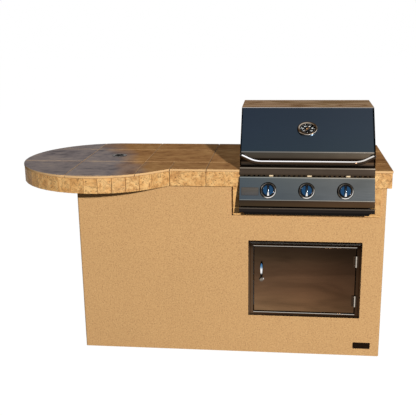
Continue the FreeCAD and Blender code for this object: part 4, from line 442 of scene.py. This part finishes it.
# The lever's ramp, bottom to top: a lighter hub, dark painted shade at the neck, a white painted highlight on
# the bulge and a blue painted sky reflection towards the tip.
lever_steel = brushed("polished_latch_lever", 377, 469,
    "0 54483d, 0.14 8d8378, 0.24 17130f, 0.4 1f1b18, 0.5 e9eaeb, 0.66 f6f7f8, 0.78 7c9dbb, "
    "0.9 3d6890, 1 2c4c6c", roughness=0.1, streak=0.03)
badge_steel = brushed("bare_badge_steel", 800, 850, "0 474749, 0.5 524e49, 1 5b544d", streak=0.2)
cap_steel = brushed("brushed_stainless_hood_end", 936, 1182, "0 5d5a55, 0.3 757678, 0.7 83878c, 1 70767d",
    cloud=0.1)
plain_steel = brushed("mill_finish_steel", 0, 1200, "0 8f9092, 1 a3a4a6", roughness=0.38)
print("made", hood_steel.name, "and ten more")

# %% [markdown]
# Polished stainless and chrome read as metal outdoors by the contrast between the bright sky that they mirror
# on one side and the dark ground on the other. Here that contrast is painted in: the tone follows the
# direction of the surface, in the object's own space, as painted reflection, painted highlight and painted
# shade. On the knobs it is a blue painted sky reflection on the flat face, black painted shade on the sides
# of the finger bar, and a painted highlight low on its crest.

# %% Finish: polished stainless and chrome
def polished(name, stops, roughness=0.1, towards=(0, 0, 1)):
    """Mirror-like metal whose tone runs from faces away from a direction to faces towards it."""
    material, tree, shader, where = new_finish(name, Metallic=1)
    # The tone by direction is a painted reflection, with painted highlight and painted shade.
    near = add(tree, "VectorMath", where["Normal"], towards, operation="DOT_PRODUCT")
    share = add(tree, "MapRange", near, From_Min=-1)
    tone = add(tree, "ValToRGB", share, stops=stops)
    hairline = add(tree, "TexNoise", where["Object"], Scale=cells(9), Detail=4, Roughness=0.7)
    shade = add(tree, "MapRange", hairline, To_Min=0.93, To_Max=1.07)
    tone = add(tree, "VectorMath", tone, Scale=shade, operation="SCALE")
    gloss = add(tree, "MapRange", hairline, To_Min=roughness - 0.04, To_Max=roughness + 0.06)
    fill(shader, Base_Color=tone, Roughness=gloss)
    return material


low_right, knob_towards = (0.62, -0.3, -0.72), (0.12, -0.935, -0.33)
# The tube's tone is painted by direction: a bright painted highlight band on its upper side, a dark painted
# shade line below it and brown painted ground reflection underneath.
handle_metal = polished("polished_stainless_tube",
    "0.15 17110c, 0.35 34281e, 0.55 46372a, 0.68 2a1d13, 0.73 3d332a, 0.78 a9a29a, 0.83 e6e0d9, "
    "1 ebe5de")
# Chrome for the rings, rosette and screw heads: dark painted shade on faces turned up and left, and a bright
# painted highlight on faces turned down and right.
chrome = polished("bright_chrome",
    "0.1 14100c, 0.38 2b231c, 0.47 6f655a, 0.52 453c33, 0.62 5a5047, 0.68 e4dfd8, 0.8 f6f4f1, 1 dcd8d2",
    roughness=0.09, towards=low_right)
# The knob face is painted blue as a reflection of sky, darker towards its edge as painted shade.
knob_face = polished("blue_tinted_chrome", "0.5 1a191b, 0.75 26405a, 0.85 234566, 1 2b5175", roughness=0.09,
    towards=knob_towards)
# The finger bar is painted black as shade on its sides, with a white painted glint low on its crest.
knob_grip = polished("black_tinted_chrome",
    "0.3 131213, 0.6 1b1b1d, 0.82 2b2f35, 0.93 454b53, 0.965 f0f0ef", roughness=0.1, towards=knob_towards)
# Knob skirts and handle collars: mostly dark painted shade, lighter low on the right as a painted highlight.
chrome_in_shade = polished("shaded_chrome", "0.1 120f0d, 0.7 211b17, 0.9 3b332c, 1 8d857c", roughness=0.12,
    towards=low_right)
# The thermometer's rim: brown painted ground reflection, dark painted shade on faces turned up and left, and
# bright painted highlights on faces turned down and right, with one pale painted band between.
gauge_chrome = polished("bronze_toned_chrome",
    "0.15 100c09, 0.33 24180e, 0.4 3d2c1b, 0.45 5f5142, 0.5 b3a799, 0.58 5e4a33, 0.68 57432d, "
    "0.74 e4dfd8, 1 f6f4f1", roughness=0.09, towards=low_right)
# The bead is painted bright on faces turned up, a painted highlight, and dark below as painted shade.
bead_metal = polished("rolled_bead_steel", "0.1 241b14, 0.5 4a3f35, 0.57 dcd6cd, 0.8 bfb7ac, 1 8f877c")
print("made", [m.name for m in (handle_metal, chrome, knob_face, bead_metal)])

# %% [markdown]
# The smaller finishes follow: galvanised steel with its spangle, small cast, painted and moulded parts, black
# plastic with painted shade in its hole, and the thermometer's clear glass.

# %% Finish: galvanised steel
zinc, tree, shader, where = new_finish("galvanised_steel", Metallic=1)
spangle = add(tree, "TexVoronoi", where["Object"], Scale=cells(9))
leaf = add(tree, "SeparateXYZ", spangle.outputs["Color"]).outputs
tone = add(tree, "ValToRGB", leaf["X"], stops="0 9aa0a4, 1 bcc1c4")
gloss = add(tree, "MapRange", leaf["Y"], To_Min=0.35, To_Max=0.5)
fill(shader, Base_Color=tone, Roughness=gloss)
print("made", zinc.name)

# %% Finish: cast, painted and moulded small parts
brass = speckled("drawn_brass", "a98442", "c7a25a", 6, 0.3, 0.1, Metallic=1)
cast_alloy = speckled("cast_aluminium", "8d8f91", "a8aaac", 2, 0.45, 0.2, Metallic=1)
black_enamel = speckled("black_enamelled_steel", "141414", "1d1c1b", 8, 0.35, 0.1)
bronze_paint = speckled("bronze_powder_coat", "6b5037", "7e6144", 2, 0.5, 0.15)
plate_paint = speckled("black_anodised_plate", "18100b", "251a12", 5, 0.45, 0.05, Specular_IOR_Level=0)
lever_vinyl = speckled("yellow_vinyl_grip", "c79a1e", "dbae2c", 5, 0.45, 0.1)
needle_paint = speckled("orange_needle_paint", "9a6a3a", "b37d48", 3, 0.4, 0.02)
dial_print = speckled("black_dial_paint", "0b0a0a", "12100f", 4, 0.5, 0.02, Specular_IOR_Level=0.2)
white_print = speckled("white_dial_print", "f1efea", "fbfaf7", 4, 0.5, 0.01)
seasoned_rod = speckled("seasoned_stainless_rod", "55504a", "8a857c", 25, 0.3, 0.1, Metallic=1)
lamp_glass = speckled("frosted_lamp_lens", "d9b98a", "f0dcb8", 3, 0.25, 0.05)
print("materials so far:", len(bpy.data.materials))

# %% Finish: umbrella sleeve, grey-brown on its flange and painted shade inside
sleeve_plastic, tree, shader, where = new_finish("dusty_black_plastic", Roughness=0.6,
    Specular_IOR_Level=0.1)
speckle_noise = add(tree, "TexNoise", where["Object"], Scale=cells(7), Detail=4)
ring = add(tree, "ValToRGB", speckle_noise, stops="0.35 453f3a, 0.65 5c554e")
# Faces that look up keep a speckled grey-brown; the rest are near black, painted shade inside the hole.
facing = add(tree, "SeparateXYZ", where["Normal"]).outputs
on_top = add(tree, "Math", facing["Z"], 0.5, operation="GREATER_THAN")
tone = add(tree, "Mix", on_top, linear("0b0908"), ring, data_type="RGBA")
fill(shader, Base_Color=tone)
print("made", sleeve_plastic.name)

# %% Finish: clear dial glass
dial_glass, tree, shader, where = new_finish("clear_dial_glass", Transmission_Weight=1, IOR=1.12,
    Base_Color=linear("f4f6f6"))
speckle_noise = add(tree, "TexNoise", where["Object"], Scale=cells(5), Detail=3)
gloss = add(tree, "MapRange", speckle_noise, To_Min=0.01, To_Max=0.06)
fill(shader, Roughness=gloss)
print("made", dial_glass.name)

# %% [markdown]
# The CAD parts that nothing replaces keep their shape and only get a finish, as this dictionary says.

# %% Dress the CAD nodes that keep their shape
carried = {
    stucco: "stucco_skin",
    cement: "front_boards end_boards rear_board counter_deck",
    zinc: "frame_tracks frame_studs overhang_brackets",
    sanded_grout: "top_grout",
    plain_steel: "firebox_shell firebox_liner burner_tubes flame_tamers tray_runners hood_hinge_brackets "
                 "hood_liner door_back latch_shaft_and_cam feed_tube gas_manifold grill_rim",
    cap_steel: "hood_end_caps",
    seasoned_rod: "cooking_grates warming_rack",
    chrome: "latch_rosette",
    lever_steel: "latch_lever",
    leaf_steel: "frame_hinges door_hinge_leaves",
    cast_alloy: "valve_bodies valve_stem_left valve_stem_middle valve_stem_right "
                "valve_plunger_left valve_plunger_middle valve_plunger_right",
    black_enamel: "inlet_pipe",
    brass: "gas_valve_body",
    lever_vinyl: "gas_valve_lever",
    bronze_paint: "end_vents",
    sleeve_plastic: "umbrella_sleeve",
    lamp_glass: "knob_lights",
    dial_print: "thermometer_dial",
    needle_paint: "thermometer_needle",
    dial_glass: "thermometer_lens",
}
carried = [(name, finish) for finish, names in carried.items() for name in names.split()]
for name, finish in carried:
    slots = nodes[name].material_slots
    if not slots:
        nodes[name].data.materials.append(finish)
    for slot in slots:
        slot.material = finish
print("nodes dressed:", len(carried))

# %% [markdown]
# Folded sheet and cut tile never have perfectly sharp edges. A softened copy of a CAD node has its triangles
# merged into flat faces, and a small bevel rounds what is sharp, so each edge catches a line of light. The
# copy then stands for the node.

# %% Soften folded and cut edges
slots = {part["node"]: part["material_slot"] for part in frame["record"]["subparts"]}


def stand_in(piece, node):
    """The piece stands for a CAD node: it rides on the node's body, and the node is hidden."""
    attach(piece, nodes[node]["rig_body"])
    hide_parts(node)


def finish_mesh(piece, angle=35):
    """Smooth shading, except over edges sharper than the angle."""
    piece.data.shade_smooth()
    piece.data.set_sharp_from_angle(angle=radians(angle))


def apply_modifiers(piece):
    """Swap the piece's mesh for what its modifiers make of it."""
    graph = bpy.context.evaluated_depsgraph_get()
    made = bpy.data.meshes.new_from_object(piece.evaluated_get(graph))
    piece.modifiers.clear()
    piece.data = made


def keep_flats_flat(piece):
    """Weighted normals, so a rounded edge doesn't bend the shading of the flat sheet beside it."""
    piece.modifiers.new("weighted", "WEIGHTED_NORMAL").keep_sharp = True
    apply_modifiers(piece)


def round_edges(piece, width_mm, angle):
    """A small bevel, two segments wide, on edges that are sharper than the angle."""
    rounding = piece.modifiers.new("rounding", "BEVEL")
    rounding.width = width_mm * MM
    rounding.segments = 2
    rounding.limit_method = "ANGLE"
    rounding.angle_limit = radians(angle)
    return rounding


def softened(node, width_mm, finish):
    """A merged copy of a CAD node with its sharp edges rounded."""
    mesh = bpy.data.meshes.new(node + "_soft")
    form = bmesh.new()
    form.from_mesh(nodes[node].data)
    bmesh.ops.remove_doubles(form, verts=form.verts, dist=1e-6)
    bmesh.ops.dissolve_limit(form, angle_limit=radians(0.5), verts=form.verts, edges=form.edges)
    form.to_mesh(mesh)
    form.free()
    piece = linked(node + "_soft", mesh)
    round_edges(piece, width_mm, 40).miter_outer = "MITER_ARC"
    apply_modifiers(piece)
    piece.data.materials.clear()
    piece.data.materials.append(finish)
    finish_mesh(piece)
    keep_flats_flat(piece)
    stand_in(piece, node)
    print(piece.name, len(piece.data.polygons), "faces")


folded = [("top_tiles", 1.2, slate), ("grill_surround", 1.2, leg_stone), ("front_rail", 0.6, rail_steel),
    ("control_panel", 0.6, panel_steel), ("hood_shell", 0.5, hood_steel), ("drip_tray", 0.5, tray_steel),
    ("door_frame", 0.5, frame_steel), ("door_panel", 0.5, door_steel)]
for node, width_mm, finish in folded:
    softened(node, width_mm, finish)

# %% [markdown]
# The band of edge tiles follows a rule: straight tiles stand side by side along the counter's outline, narrow
# ones round the curve. A Geometry Nodes tree makes it. It takes one short line for each tile, trims half a
# joint off both ends, and sweeps a rounded tile section along it.

# %% Lines of the edge tiles
lip, thick, joint, tile_high, tile_low = 1.5, 10, 2, 69, 834
round_x, round_radius, front_y, rear_y, right_x = -470, 405, -237, 405, 875
bay_left, bay_right = 207.5, 782.5
tangent = radians(48)


def split(start, end, count):
    """The ends of equal tiles between two points."""
    points = [start + (end - start) * i / count for i in range(count + 1)]
    return list(zip(points, points[1:]))


radius = round_radius - lip
front, side, rear = front_y + lip, right_x - lip, rear_y - lip
tangent_end = Vector((round_x + radius * cos(tangent), -radius * sin(tangent)))
kink_x = tangent_end.x + (front - tangent_end.y) / cos(tangent) * sin(tangent)
kink = Vector((kink_x, front))
tile_lines = split(kink, Vector((bay_left, front)), 2)
tile_lines += split(Vector((bay_right, front)), Vector((side, front)), 1)
tile_lines += split(Vector((side, front + thick)), Vector((side, rear)), 4)
tile_lines += split(Vector((side - thick, rear)), Vector((round_x, rear)), 8)
curve_tiles = 25
step = (radians(270) - tangent) / curve_tiles
reach = radius / cos(step / 2)
turns = [pi / 2 + step * i for i in range(curve_tiles + 1)]
ends = [Vector((round_x + reach * cos(turn), reach * sin(turn))) for turn in turns]
tile_lines += list(zip(ends, ends[1:]))
tile_lines.append((tangent_end, kink))
print("edge tiles:", len(tile_lines), "kink at X", round(kink.x, 1))

# %% Geometry Nodes tree of the edge band
def new_tree(name, sizes):
    """A Geometry Nodes tree with a geometry in and out and named sizes."""
    tree = bpy.data.node_groups.new(name, "GeometryNodeTree")
    for side in ("INPUT", "OUTPUT"):
        tree.interface.new_socket(name="Geometry", in_out=side, socket_type="NodeSocketGeometry")
    for key, (kind, value) in sizes.items():
        socket = tree.interface.new_socket(name=key, in_out="INPUT", socket_type="NodeSocket" + kind)
        if value is not None:
            socket.default_value = value
    return tree, add(tree, "NodeGroupInput").outputs


def paint_and_output(tree, geometry, finish):
    """The end of a tree: instances are made real, painted and given out."""
    real = add(tree, "GeometryNodeRealizeInstances", geometry)
    painted = add(tree, "GeometryNodeSetMaterial", real, Material=finish)
    add(tree, "NodeGroupOutput", painted)
    print(tree.name, "has", len(tree.nodes), "nodes")
    return tree


def grown(name, mesh, tree, values):
    """Run a tree on a mesh and keep the result as a plain mesh object."""
    piece = linked(name, mesh)
    maker = piece.modifiers.new("maker", "NODES")
    maker.node_group = tree
    for item in tree.interface.items_tree:
        if item.in_out == "INPUT" and item.name in values:
            maker[item.identifier] = values[item.name]
    apply_modifiers(piece)
    return piece


tree, given = new_tree("edge_tile_band", {"Tile height": ("Float", tile_high * MM),
    "Tile thickness": ("Float", thick * MM), "Joint width": ("Float", joint * MM),
    "Edge radius": ("Float", 1.2 * MM), "Finish": ("Material", None)})
lines = add(tree, "GeometryNodeMeshToCurve", given["Geometry"])
half = add(tree, "Math", given["Joint width"], 0.5, operation="MULTIPLY")
length = add(tree, "GeometryNodeSplineLength")
stop = add(tree, "Math", length, half, operation="SUBTRACT")
cut = add(tree, "GeometryNodeTrimCurve", lines, Start=half, End=stop, mode="LENGTH")
upright = add(tree, "GeometryNodeSetCurveNormal", cut, mode="Z_UP")
section = add(tree, "GeometryNodeCurvePrimitiveQuadrilateral", given["Tile thickness"],
    given["Tile height"])
section = add(tree, "GeometryNodeFilletCurve", section, Count=3, Radius=given["Edge radius"], mode="POLY")
tiles = add(tree, "GeometryNodeCurveToMesh", upright, Profile_Curve=section, Fill_Caps=True)
band_tree = paint_and_output(tree, tiles, given["Finish"])

# %% Make the edge band
middle_z = (tile_low + tile_high / 2) * MM
corners, edges = [], []
for start, end in tile_lines:
    along = (end - start).normalized()
    inward = Vector((-along.y, along.x)) * thick / 2
    for point in (start + inward, end + inward):
        corners.append((point.x * MM, point.y * MM, middle_z))
    edges.append((len(corners) - 2, len(corners) - 1))
band_lines = bpy.data.meshes.new("edge_tile_lines")
band_lines.from_pydata(corners, edges, [])
band = grown("edge_tile_band", band_lines, band_tree, {"Finish": edge_stone})
round_edges(band, 1, 50)
apply_modifiers(band)
finish_mesh(band)
keep_flats_flat(band)
stand_in(band, "edge_tiles")
box = [[round(pick(v.co[i] for v in band.data.vertices), 4) for i in range(3)] for pick in (min, max)]

# %% [markdown]
# Knobs, rings, collars and the thermometer's rim are turned or oval. One function sweeps a profile of radius
# and height round an axis, and makes it oval where the second half width is smaller. Another places a piece
# on a sloping sheet: X stays level, Y runs up the slope and Z points out of it.

# %% Turned shapes and places on sloping sheets
def bridge(form, rings, closed=False):
    """Faces between neighbouring rings of points; a ring of one point is a tip."""
    for lower, upper in list(zip(rings, rings[1:])) + ([(rings[-1], rings[0])] if closed else []):
        count = max(len(lower), len(upper))
        for index in range(count):
            after = (index + 1) % count
            corners = [lower[index % len(lower)], lower[after % len(lower)], upper[after % len(upper)],
                upper[index % len(upper)]]
            form.faces.new(list(dict.fromkeys(corners)))


def solid(name, form, finish, where=None):
    """A bmesh as an object with outward normals, moved to its place and painted."""
    bmesh.ops.recalc_face_normals(form, faces=form.faces)
    if where is not None:
        form.transform(where)
    mesh = bpy.data.meshes.new(name)
    form.to_mesh(mesh)
    form.free()
    mesh.materials.append(finish)
    piece = linked(name, mesh)
    finish_mesh(piece, 30)
    return piece


def turned(name, profile, finish, segments=64, narrower=0, closed=False, where=None):
    """Sweep (radius, height) points in mm round Z; narrower takes that much off the radius along Y."""
    form = bmesh.new()
    rings = []
    for radius, height in profile:
        short = max(radius - narrower, radius * 0.3)
        angles = [2 * pi * index / segments for index in range(segments)] if radius > 0 else [0]
        rings.append([form.verts.new((radius * MM * cos(angle), short * MM * sin(angle), height * MM))
            for angle in angles])
    bridge(form, rings, closed)
    return solid(name, form, finish, where)


def on_slope(centre, tilt):
    """The frame of a sheet that leans back by tilt: X level, Y up along it, Z out of it."""
    lean = radians(tilt)
    matrix = Matrix(((1, 0, 0), (0, sin(lean), -cos(lean)), (0, cos(lean), sin(lean))))
    return Matrix.Translation(Vector(centre) * MM) @ matrix.to_4x4()


def joined(name, parts):
    """Several mesh objects as one, at the origin."""
    for part in parts[1:]:
        part.data.transform(part.matrix_world)
    with bpy.context.temp_override(active_object=parts[0], selected_editable_objects=parts,
            selected_objects=parts, object=parts[0]):
        bpy.ops.object.join()
    parts[0].name = parts[0].data.name = name
    return parts[0]


panel_tilt, facet_tilt = 21.393, 37.122
knob_places = {"left": 324, "middle": 495, "right": 666}
knob_y, knob_z = -268.886, 827.134
print("panel leans", panel_tilt, "degrees, hood facet", facet_tilt)

# %% [markdown]
# Each knob is a chromed casting: a round skirt with a rolled edge, and a bar across it for the fingers, whose
# crest is an arc, full in the middle and lower at its ends. The bar is lofted from rounded sections and
# subdivided, so it has no hard facets. A ring with a rolled shoulder stands round the knob on the panel.

# %% Knobs and their rings
skirt_line = [(0, 4), (26.5, 4), (27.6, 4.6), (28, 5.6), (28, 8.6), (27.6, 10.2), (26.6, 11.3),
    (25.2, 11.8), (24, 11.6), (23.4, 10.6), (0, 10.6)]
face_line = [(0, 10.2), (23.2, 10.2), (23.2, 10.7), (22.7, 11.1), (0, 11.1)]
ring_line = [(29.5, 0), (37.4, 0), (38, 0.5), (38, 1.2), (37.6, 2.1), (36.1, 4.5), (34.3, 6.9), (33, 8.3),
    (31.8, 8.9), (30.7, 8.6), (29.9, 7.6), (29.5, 5.6)]
crest_radius, crest_centre, seat_height, low_top, half_length = 36.4, -10.4, 9.5, 10, 26


def grip_bar(name, where):
    """A finger bar along Y, lofted from rounded sections."""
    form = bmesh.new()
    rings = []
    for y in (-26.2, -25.6, -22, -14, -5, 5, 14, 22, 25.6, 26.2):
        at_end = abs(y) > half_length
        wide = (5.4 + 1.5 * (y / half_length) ** 2) * (0.8 if at_end else 1)
        rise = crest_centre + sqrt(crest_radius ** 2 - y * y) - low_top
        top = low_top + rise * (0.75 if at_end else 1)
        side = [(wide, seat_height), (wide, top - 5), (wide * 0.86, top - 1.6), (wide * 0.45, top - 0.2)]
        section = [(-x, z) for x, z in side] + side[::-1]
        rings.append([form.verts.new((x * MM, y * MM, max(z, seat_height) * MM)) for x, z in section])
    bridge(form, rings)
    form.faces.new(rings[0])
    form.faces.new(rings[-1][::-1])
    piece = solid(name, form, knob_grip, where)
    smooth = piece.modifiers.new("smooth", "SUBSURF")
    smooth.levels = smooth.render_levels = 2
    apply_modifiers(piece)
    finish_mesh(piece, 60)
    return piece


knob_rings = []
for side_name, x in knob_places.items():
    seat = on_slope((x, knob_y, knob_z), panel_tilt)
    skirt = turned("knob_skirt_" + side_name, skirt_line, chrome_in_shade, where=seat)
    face = turned("knob_face_" + side_name, face_line, knob_face, where=seat)
    grip = grip_bar("knob_grip_" + side_name, seat)
    knob = joined("knob_cap_" + side_name, [skirt, face, grip])
    stand_in(knob, "knob_" + side_name)
    knob_rings.append(turned("knob_ring_" + side_name, ring_line, chrome, closed=True, where=seat))
ring_set = joined("knob_rings", knob_rings)
stand_in(ring_set, "knob_bezels")
print("knob rings:", len(ring_set.data.polygons), "faces")

# %% [markdown]
# The handle is a 20 mm tube that runs straight in front of the hood and sweeps back to it at both ends: a
# curve with a round bevel, whose line has an arc at each corner. Two turned collars carry it on the hood.

# %% Hood handle
def rounded_line(points, radius, steps=10):
    """The points of a line whose inner corners are arcs of this radius."""
    line = [points[0]]
    for before, corner, after in zip(points, points[1:], points[2:]):
        into, out = (corner - before).normalized(), (after - corner).normalized()
        turn = into.angle(out)
        back = radius * tan(turn / 2)
        middle = corner + (out - into).normalized() * (radius / cos(turn / 2))
        arm = corner - into * back - middle
        axis = into.cross(out)
        line += [middle + Matrix.Rotation(turn * i / steps, 3, axis) @ arm for i in range(steps + 1)]
    return line + [points[-1]]


def as_mesh(name, curve, finish, shift=(0, 0, 0)):
    """A curve or text as a painted mesh object, shifted in metres."""
    source = linked(name, curve)
    bpy.context.view_layer.update()
    mesh = bpy.data.meshes.new_from_object(source.evaluated_get(bpy.context.evaluated_depsgraph_get()))
    bpy.data.objects.remove(source)
    mesh.transform(Matrix.Translation(shift))
    mesh.materials.clear()
    mesh.materials.append(finish)
    return linked(name, mesh)


def tube(name, points, radius_mm, finish):
    """A round tube along points in mm, as a mesh."""
    curve = bpy.data.curves.new(name, "CURVE")
    curve.dimensions = "3D"
    curve.bevel_depth = radius_mm * MM
    curve.bevel_resolution = 8
    curve.use_fill_caps = True
    spline = curve.splines.new("POLY")
    spline.points.add(len(points) - 1)
    for point, place in zip(spline.points, points):
        point.co = (*(place * MM), 1)
    piece = as_mesh(name, curve, finish)
    finish_mesh(piece, 50)
    return piece


band_front, band_low, band_depth, band_high = -240, 936, 13, 59
band_tilt = degrees(atan2(band_depth, band_high))
foot_z = 976
foot_y = band_front + band_depth * (foot_z - band_low) / band_high
low_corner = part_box("hood_handle")[0]
tube_radius, sunk, sweep, bend_radius = 10, 10, 62, 70
grip_y = low_corner.y / MM + tube_radius
grip_z = low_corner.z / MM + tube_radius
left_end, right_end = 207, 783
line = rounded_line([Vector((left_end, foot_y - sunk, foot_z)), Vector((left_end + sweep, grip_y, grip_z)),
    Vector((right_end - sweep, grip_y, grip_z)), Vector((right_end, foot_y - sunk, foot_z))], bend_radius)
parts = [tube("handle_tube", line, tube_radius, handle_metal)]
collar = [(0, 0), (12, 0), (12.5, 0.6), (12.5, 9.5), (11.9, 11.4), (10.4, 12.6), (0, 13)]
for x in (left_end, right_end):
    foot = on_slope((x, foot_y, foot_z), band_tilt)
    parts.append(turned("collar", collar, chrome_in_shade, segments=48, where=foot))
handle = joined("hood_handle_tube", parts)
stand_in(handle, "hood_handle")
print("handle axis at Y", round(grip_y, 1), "Z", round(grip_z, 1))

# %% [markdown]
# The door frame's opening has a rolled bead along its top and bottom. Each is a thin rod half sunk in the
# rim, with a painted highlight line along its upper side and painted shade below. The sides have none,
# so the hinges have room.

# %% Beads of the door frame
rim_y, bead_radius = -223.5, 2.8
beads = []
for name, z in (("bead_top", 549.6), ("bead_bottom", 218)):
    rod = [Vector((257.5, rim_y, z)), Vector((732.5, rim_y, z))]
    beads.append(tube(name, rod, bead_radius, bead_metal))
bead_pair = joined("door_frame_beads", beads)
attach(bead_pair, "island")
print("beads:", len(bead_pair.data.polygons), "faces")

# %% [markdown]
# The thermometer sits on the hood's slope: an oval chrome rim, a black dial with white marks and numbers, an
# orange needle and a glass. A Geometry Nodes tree places the marks, thin bars along an arc of an oval, and
# makes every few of them longer.

# %% Thermometer rim
gauge = on_slope((495, -157.595, 1086.695), facet_tilt)
rim_line = [(39, 2), (43.5, 0), (45.4, 0), (46, 0.8), (46, 5.5), (45.4, 8.4), (44, 10.7), (42.6, 11.8),
    (41.6, 12), (40.6, 11.9), (35.6, 10.85), (34.9, 10.62), (39, 10.58), (39, 8.6)]
rim = turned("thermometer_rim", rim_line, gauge_chrome, segments=96, narrower=11, closed=True, where=gauge)
cup = turned("thermometer_cup", [(0, 0), (43.5, 0), (43.5, 2), (0, 2)], gauge_chrome, segments=96,
    narrower=11, where=gauge)
probe = turned("thermometer_probe", [(0, -70), (3.6, -70), (4, -69), (4, 0.5), (0, 0.5)], plain_steel,
    segments=24, where=gauge)
case = joined("thermometer_housing", [rim, cup, probe])
stand_in(case, "thermometer_case")
print("thermometer centre", [round(c, 4) for c in gauge.translation])

# %% Geometry Nodes tree of the dial's marks
dial_start, dial_sweep = 225, -270
tree, given = new_tree("dial_marks", {"Half width": ("Float", 0.0318), "Half height": ("Float", 0.0206),
    "Mark count": ("Int", 31), "Long every": ("Int", 5), "Finish": ("Material", None)})
path = add(tree, "GeometryNodeCurveArc", Resolution=96, Radius=1, Start_Angle=radians(dial_start),
    Sweep_Angle=radians(dial_sweep), mode="RADIUS")
size = add(tree, "CombineXYZ", given["Half width"], given["Half height"], 1)
oval = add(tree, "GeometryNodeTransform", path, Scale=size)
spots = add(tree, "GeometryNodeCurveToPoints", oval, Count=given["Mark count"], mode="COUNT")
bar = add(tree, "GeometryNodeMeshCube", (0.0018, 0.0004, 0.0002))
index = add(tree, "GeometryNodeInputIndex")
rest = add(tree, "Math", index, given["Long every"], operation="MODULO")
is_long = add(tree, "Math", rest, 0.5, operation="LESS_THAN")
longer = add(tree, "MapRange", is_long, To_Min=1, To_Max=1.7)
stretch = add(tree, "CombineXYZ", longer, longer, 1)
spot = add(tree, "GeometryNodeInputPosition")
aim = add(tree, "FunctionNodeAlignRotationToVector", Vector=spot, axis="X")
copies = add(tree, "GeometryNodeInstanceOnPoints", spots, Instance=bar, Rotation=aim, Scale=stretch)
marks_tree = paint_and_output(tree, copies, given["Finish"])

# %% Dial marks and numbers
marks = grown("dial_scale", bpy.data.meshes.new("dial_seed"), marks_tree, {"Finish": white_print})
numbers = []
number_x, number_y, print_height = 0.0225, 0.0138, 0.0036
for count, value in enumerate(("100", "200", "300", "400", "500", "600")):
    angle = radians(dial_start + dial_sweep * count / 5)
    text = bpy.data.curves.new("number_" + value, "FONT")
    text.body = value
    text.size = 0.0068
    text.offset = 0.00022
    text.align_x = text.align_y = "CENTER"
    text.extrude = 0.0001
    shift = (number_x * cos(angle), number_y * sin(angle), 0)
    numbers.append(as_mesh("number_" + value, text, white_print, shift))
scale_print = joined("dial_scale_print", [marks] + numbers)
scale_print.data.transform(gauge @ Matrix.Translation((0, 0, print_height)))
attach(scale_print, "hood")
print("dial print:", len(scale_print.data.polygons), "faces")

# %% [markdown]
# Two small plates stay bare: a steel one at the panel's left end and a black one low on the stucco. Both are
# thin pressings with a raised border, made from one rounded outline that steps in and down.

# %% Bare plates
def pressed_plate(name, wide, high, thick, corner, finish, where):
    """A thin plate with rounded corners and a raised border."""
    form = bmesh.new()
    rings = []
    for inset, height in ((0, 0), (0, thick - 0.3), (0.3, thick), (1.7, thick), (2.1, thick - 0.5)):
        ring = []
        for quarter, (sx, sy) in enumerate(((1, 1), (-1, 1), (-1, -1), (1, -1))):
            for index in range(6):
                angle = radians(90 * quarter + 18 * index)
                radius = max(corner - inset, 0.2)
                x = sx * (wide / 2 - inset - radius) + radius * cos(angle)
                y = sy * (high / 2 - inset - radius) + radius * sin(angle)
                ring.append(form.verts.new((x * MM, y * MM, height * MM)))
        rings.append(ring)
    bridge(form, rings)
    form.faces.new(rings[0][::-1])
    form.faces.new(rings[-1])
    return solid(name, form, finish, where)


panel_top_y, panel_top_z, down_panel = -247, 883, 65.5
lean = radians(panel_tilt)
plate_y, plate_z = panel_top_y - down_panel * sin(lean), panel_top_z - down_panel * cos(lean)
plate_seat = on_slope((242, plate_y, plate_z), panel_tilt)
panel_plate = pressed_plate("panel_plate", 78, 37, 1.2, 3, badge_steel, plate_seat)
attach(panel_plate, "island")
base_front = -217
base_seat = on_slope((772, base_front, 56.5), 0)
base_plate = pressed_plate("base_plate", 81, 31, 1.6, 3, plate_paint, base_seat)
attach(base_plate, "island")
print("plates:", [o.name for o in (panel_plate, base_plate)])

# %% [markdown]
# Small screws repeat on the vents and hinge leaves. A Geometry Nodes tree puts a turned head on each point
# and aims it along that point's direction. Those on the door are a piece of their own and swing with it.

# %% Geometry Nodes tree of the screws
screw_head = turned("screw_head", [(0, 0), (2.4, 0), (2.6, 0.4), (2.3, 1.1), (1.5, 1.5), (1.2, 1.5),
    (1.1, 0.9), (0, 0.8)], chrome, segments=12)
tree, given = new_tree("screws_on_points", {"Head": ("Object", None), "Scale": ("Float", 1),
    "Finish": ("Material", None)})
head = add(tree, "GeometryNodeObjectInfo", given["Head"])
aim = add(tree, "GeometryNodeInputNamedAttribute", "facing", data_type="FLOAT_VECTOR")
aim = add(tree, "FunctionNodeAlignRotationToVector", Vector=aim, axis="Z")
copies = add(tree, "GeometryNodeInstanceOnPoints", given["Geometry"], Instance=head.outputs["Geometry"],
    Rotation=aim, Scale=given["Scale"])
screw_tree = paint_and_output(tree, copies, given["Finish"])

# %% Screws
def screws(name, body, finish, size, places):
    """Screw heads at (point, direction) pairs, in mm."""
    mesh = bpy.data.meshes.new(name)
    mesh.from_pydata([tuple(c * MM for c in point) for point, facing in places], [], [])
    facing = mesh.attributes.new("facing", "FLOAT_VECTOR", "POINT")
    facing.data.foreach_set("vector", [c for point, way in places for c in way])
    piece = grown(name, mesh, screw_tree, {"Head": screw_head, "Scale": size, "Finish": finish})
    finish_mesh(piece, 30)
    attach(piece, body)


vent_places = [((face, y, z), (way, 0, 0)) for face, way in ((-576.5, -1), (856.5, 1))
    for y in (-70.5, 71.5, 213.5) for z in (173, 287)]
screws("vent_screws", "island", bronze_paint, 1.3, vent_places)
for name, body, x in (("hinge_screws_on_frame", "island", 739.5), ("hinge_screws_on_door", "door", 722.5)):
    places = [((x, -225, z + dz), (0, -1, 0)) for z in (287, 483) for dz in (-18, 18)]
    screws(name, body, leaf_steel, 0.8, places)
bpy.data.objects.remove(screw_head)
print("screws:", len(vent_places), "on the vents,", 2 * len(places), "on the hinges")
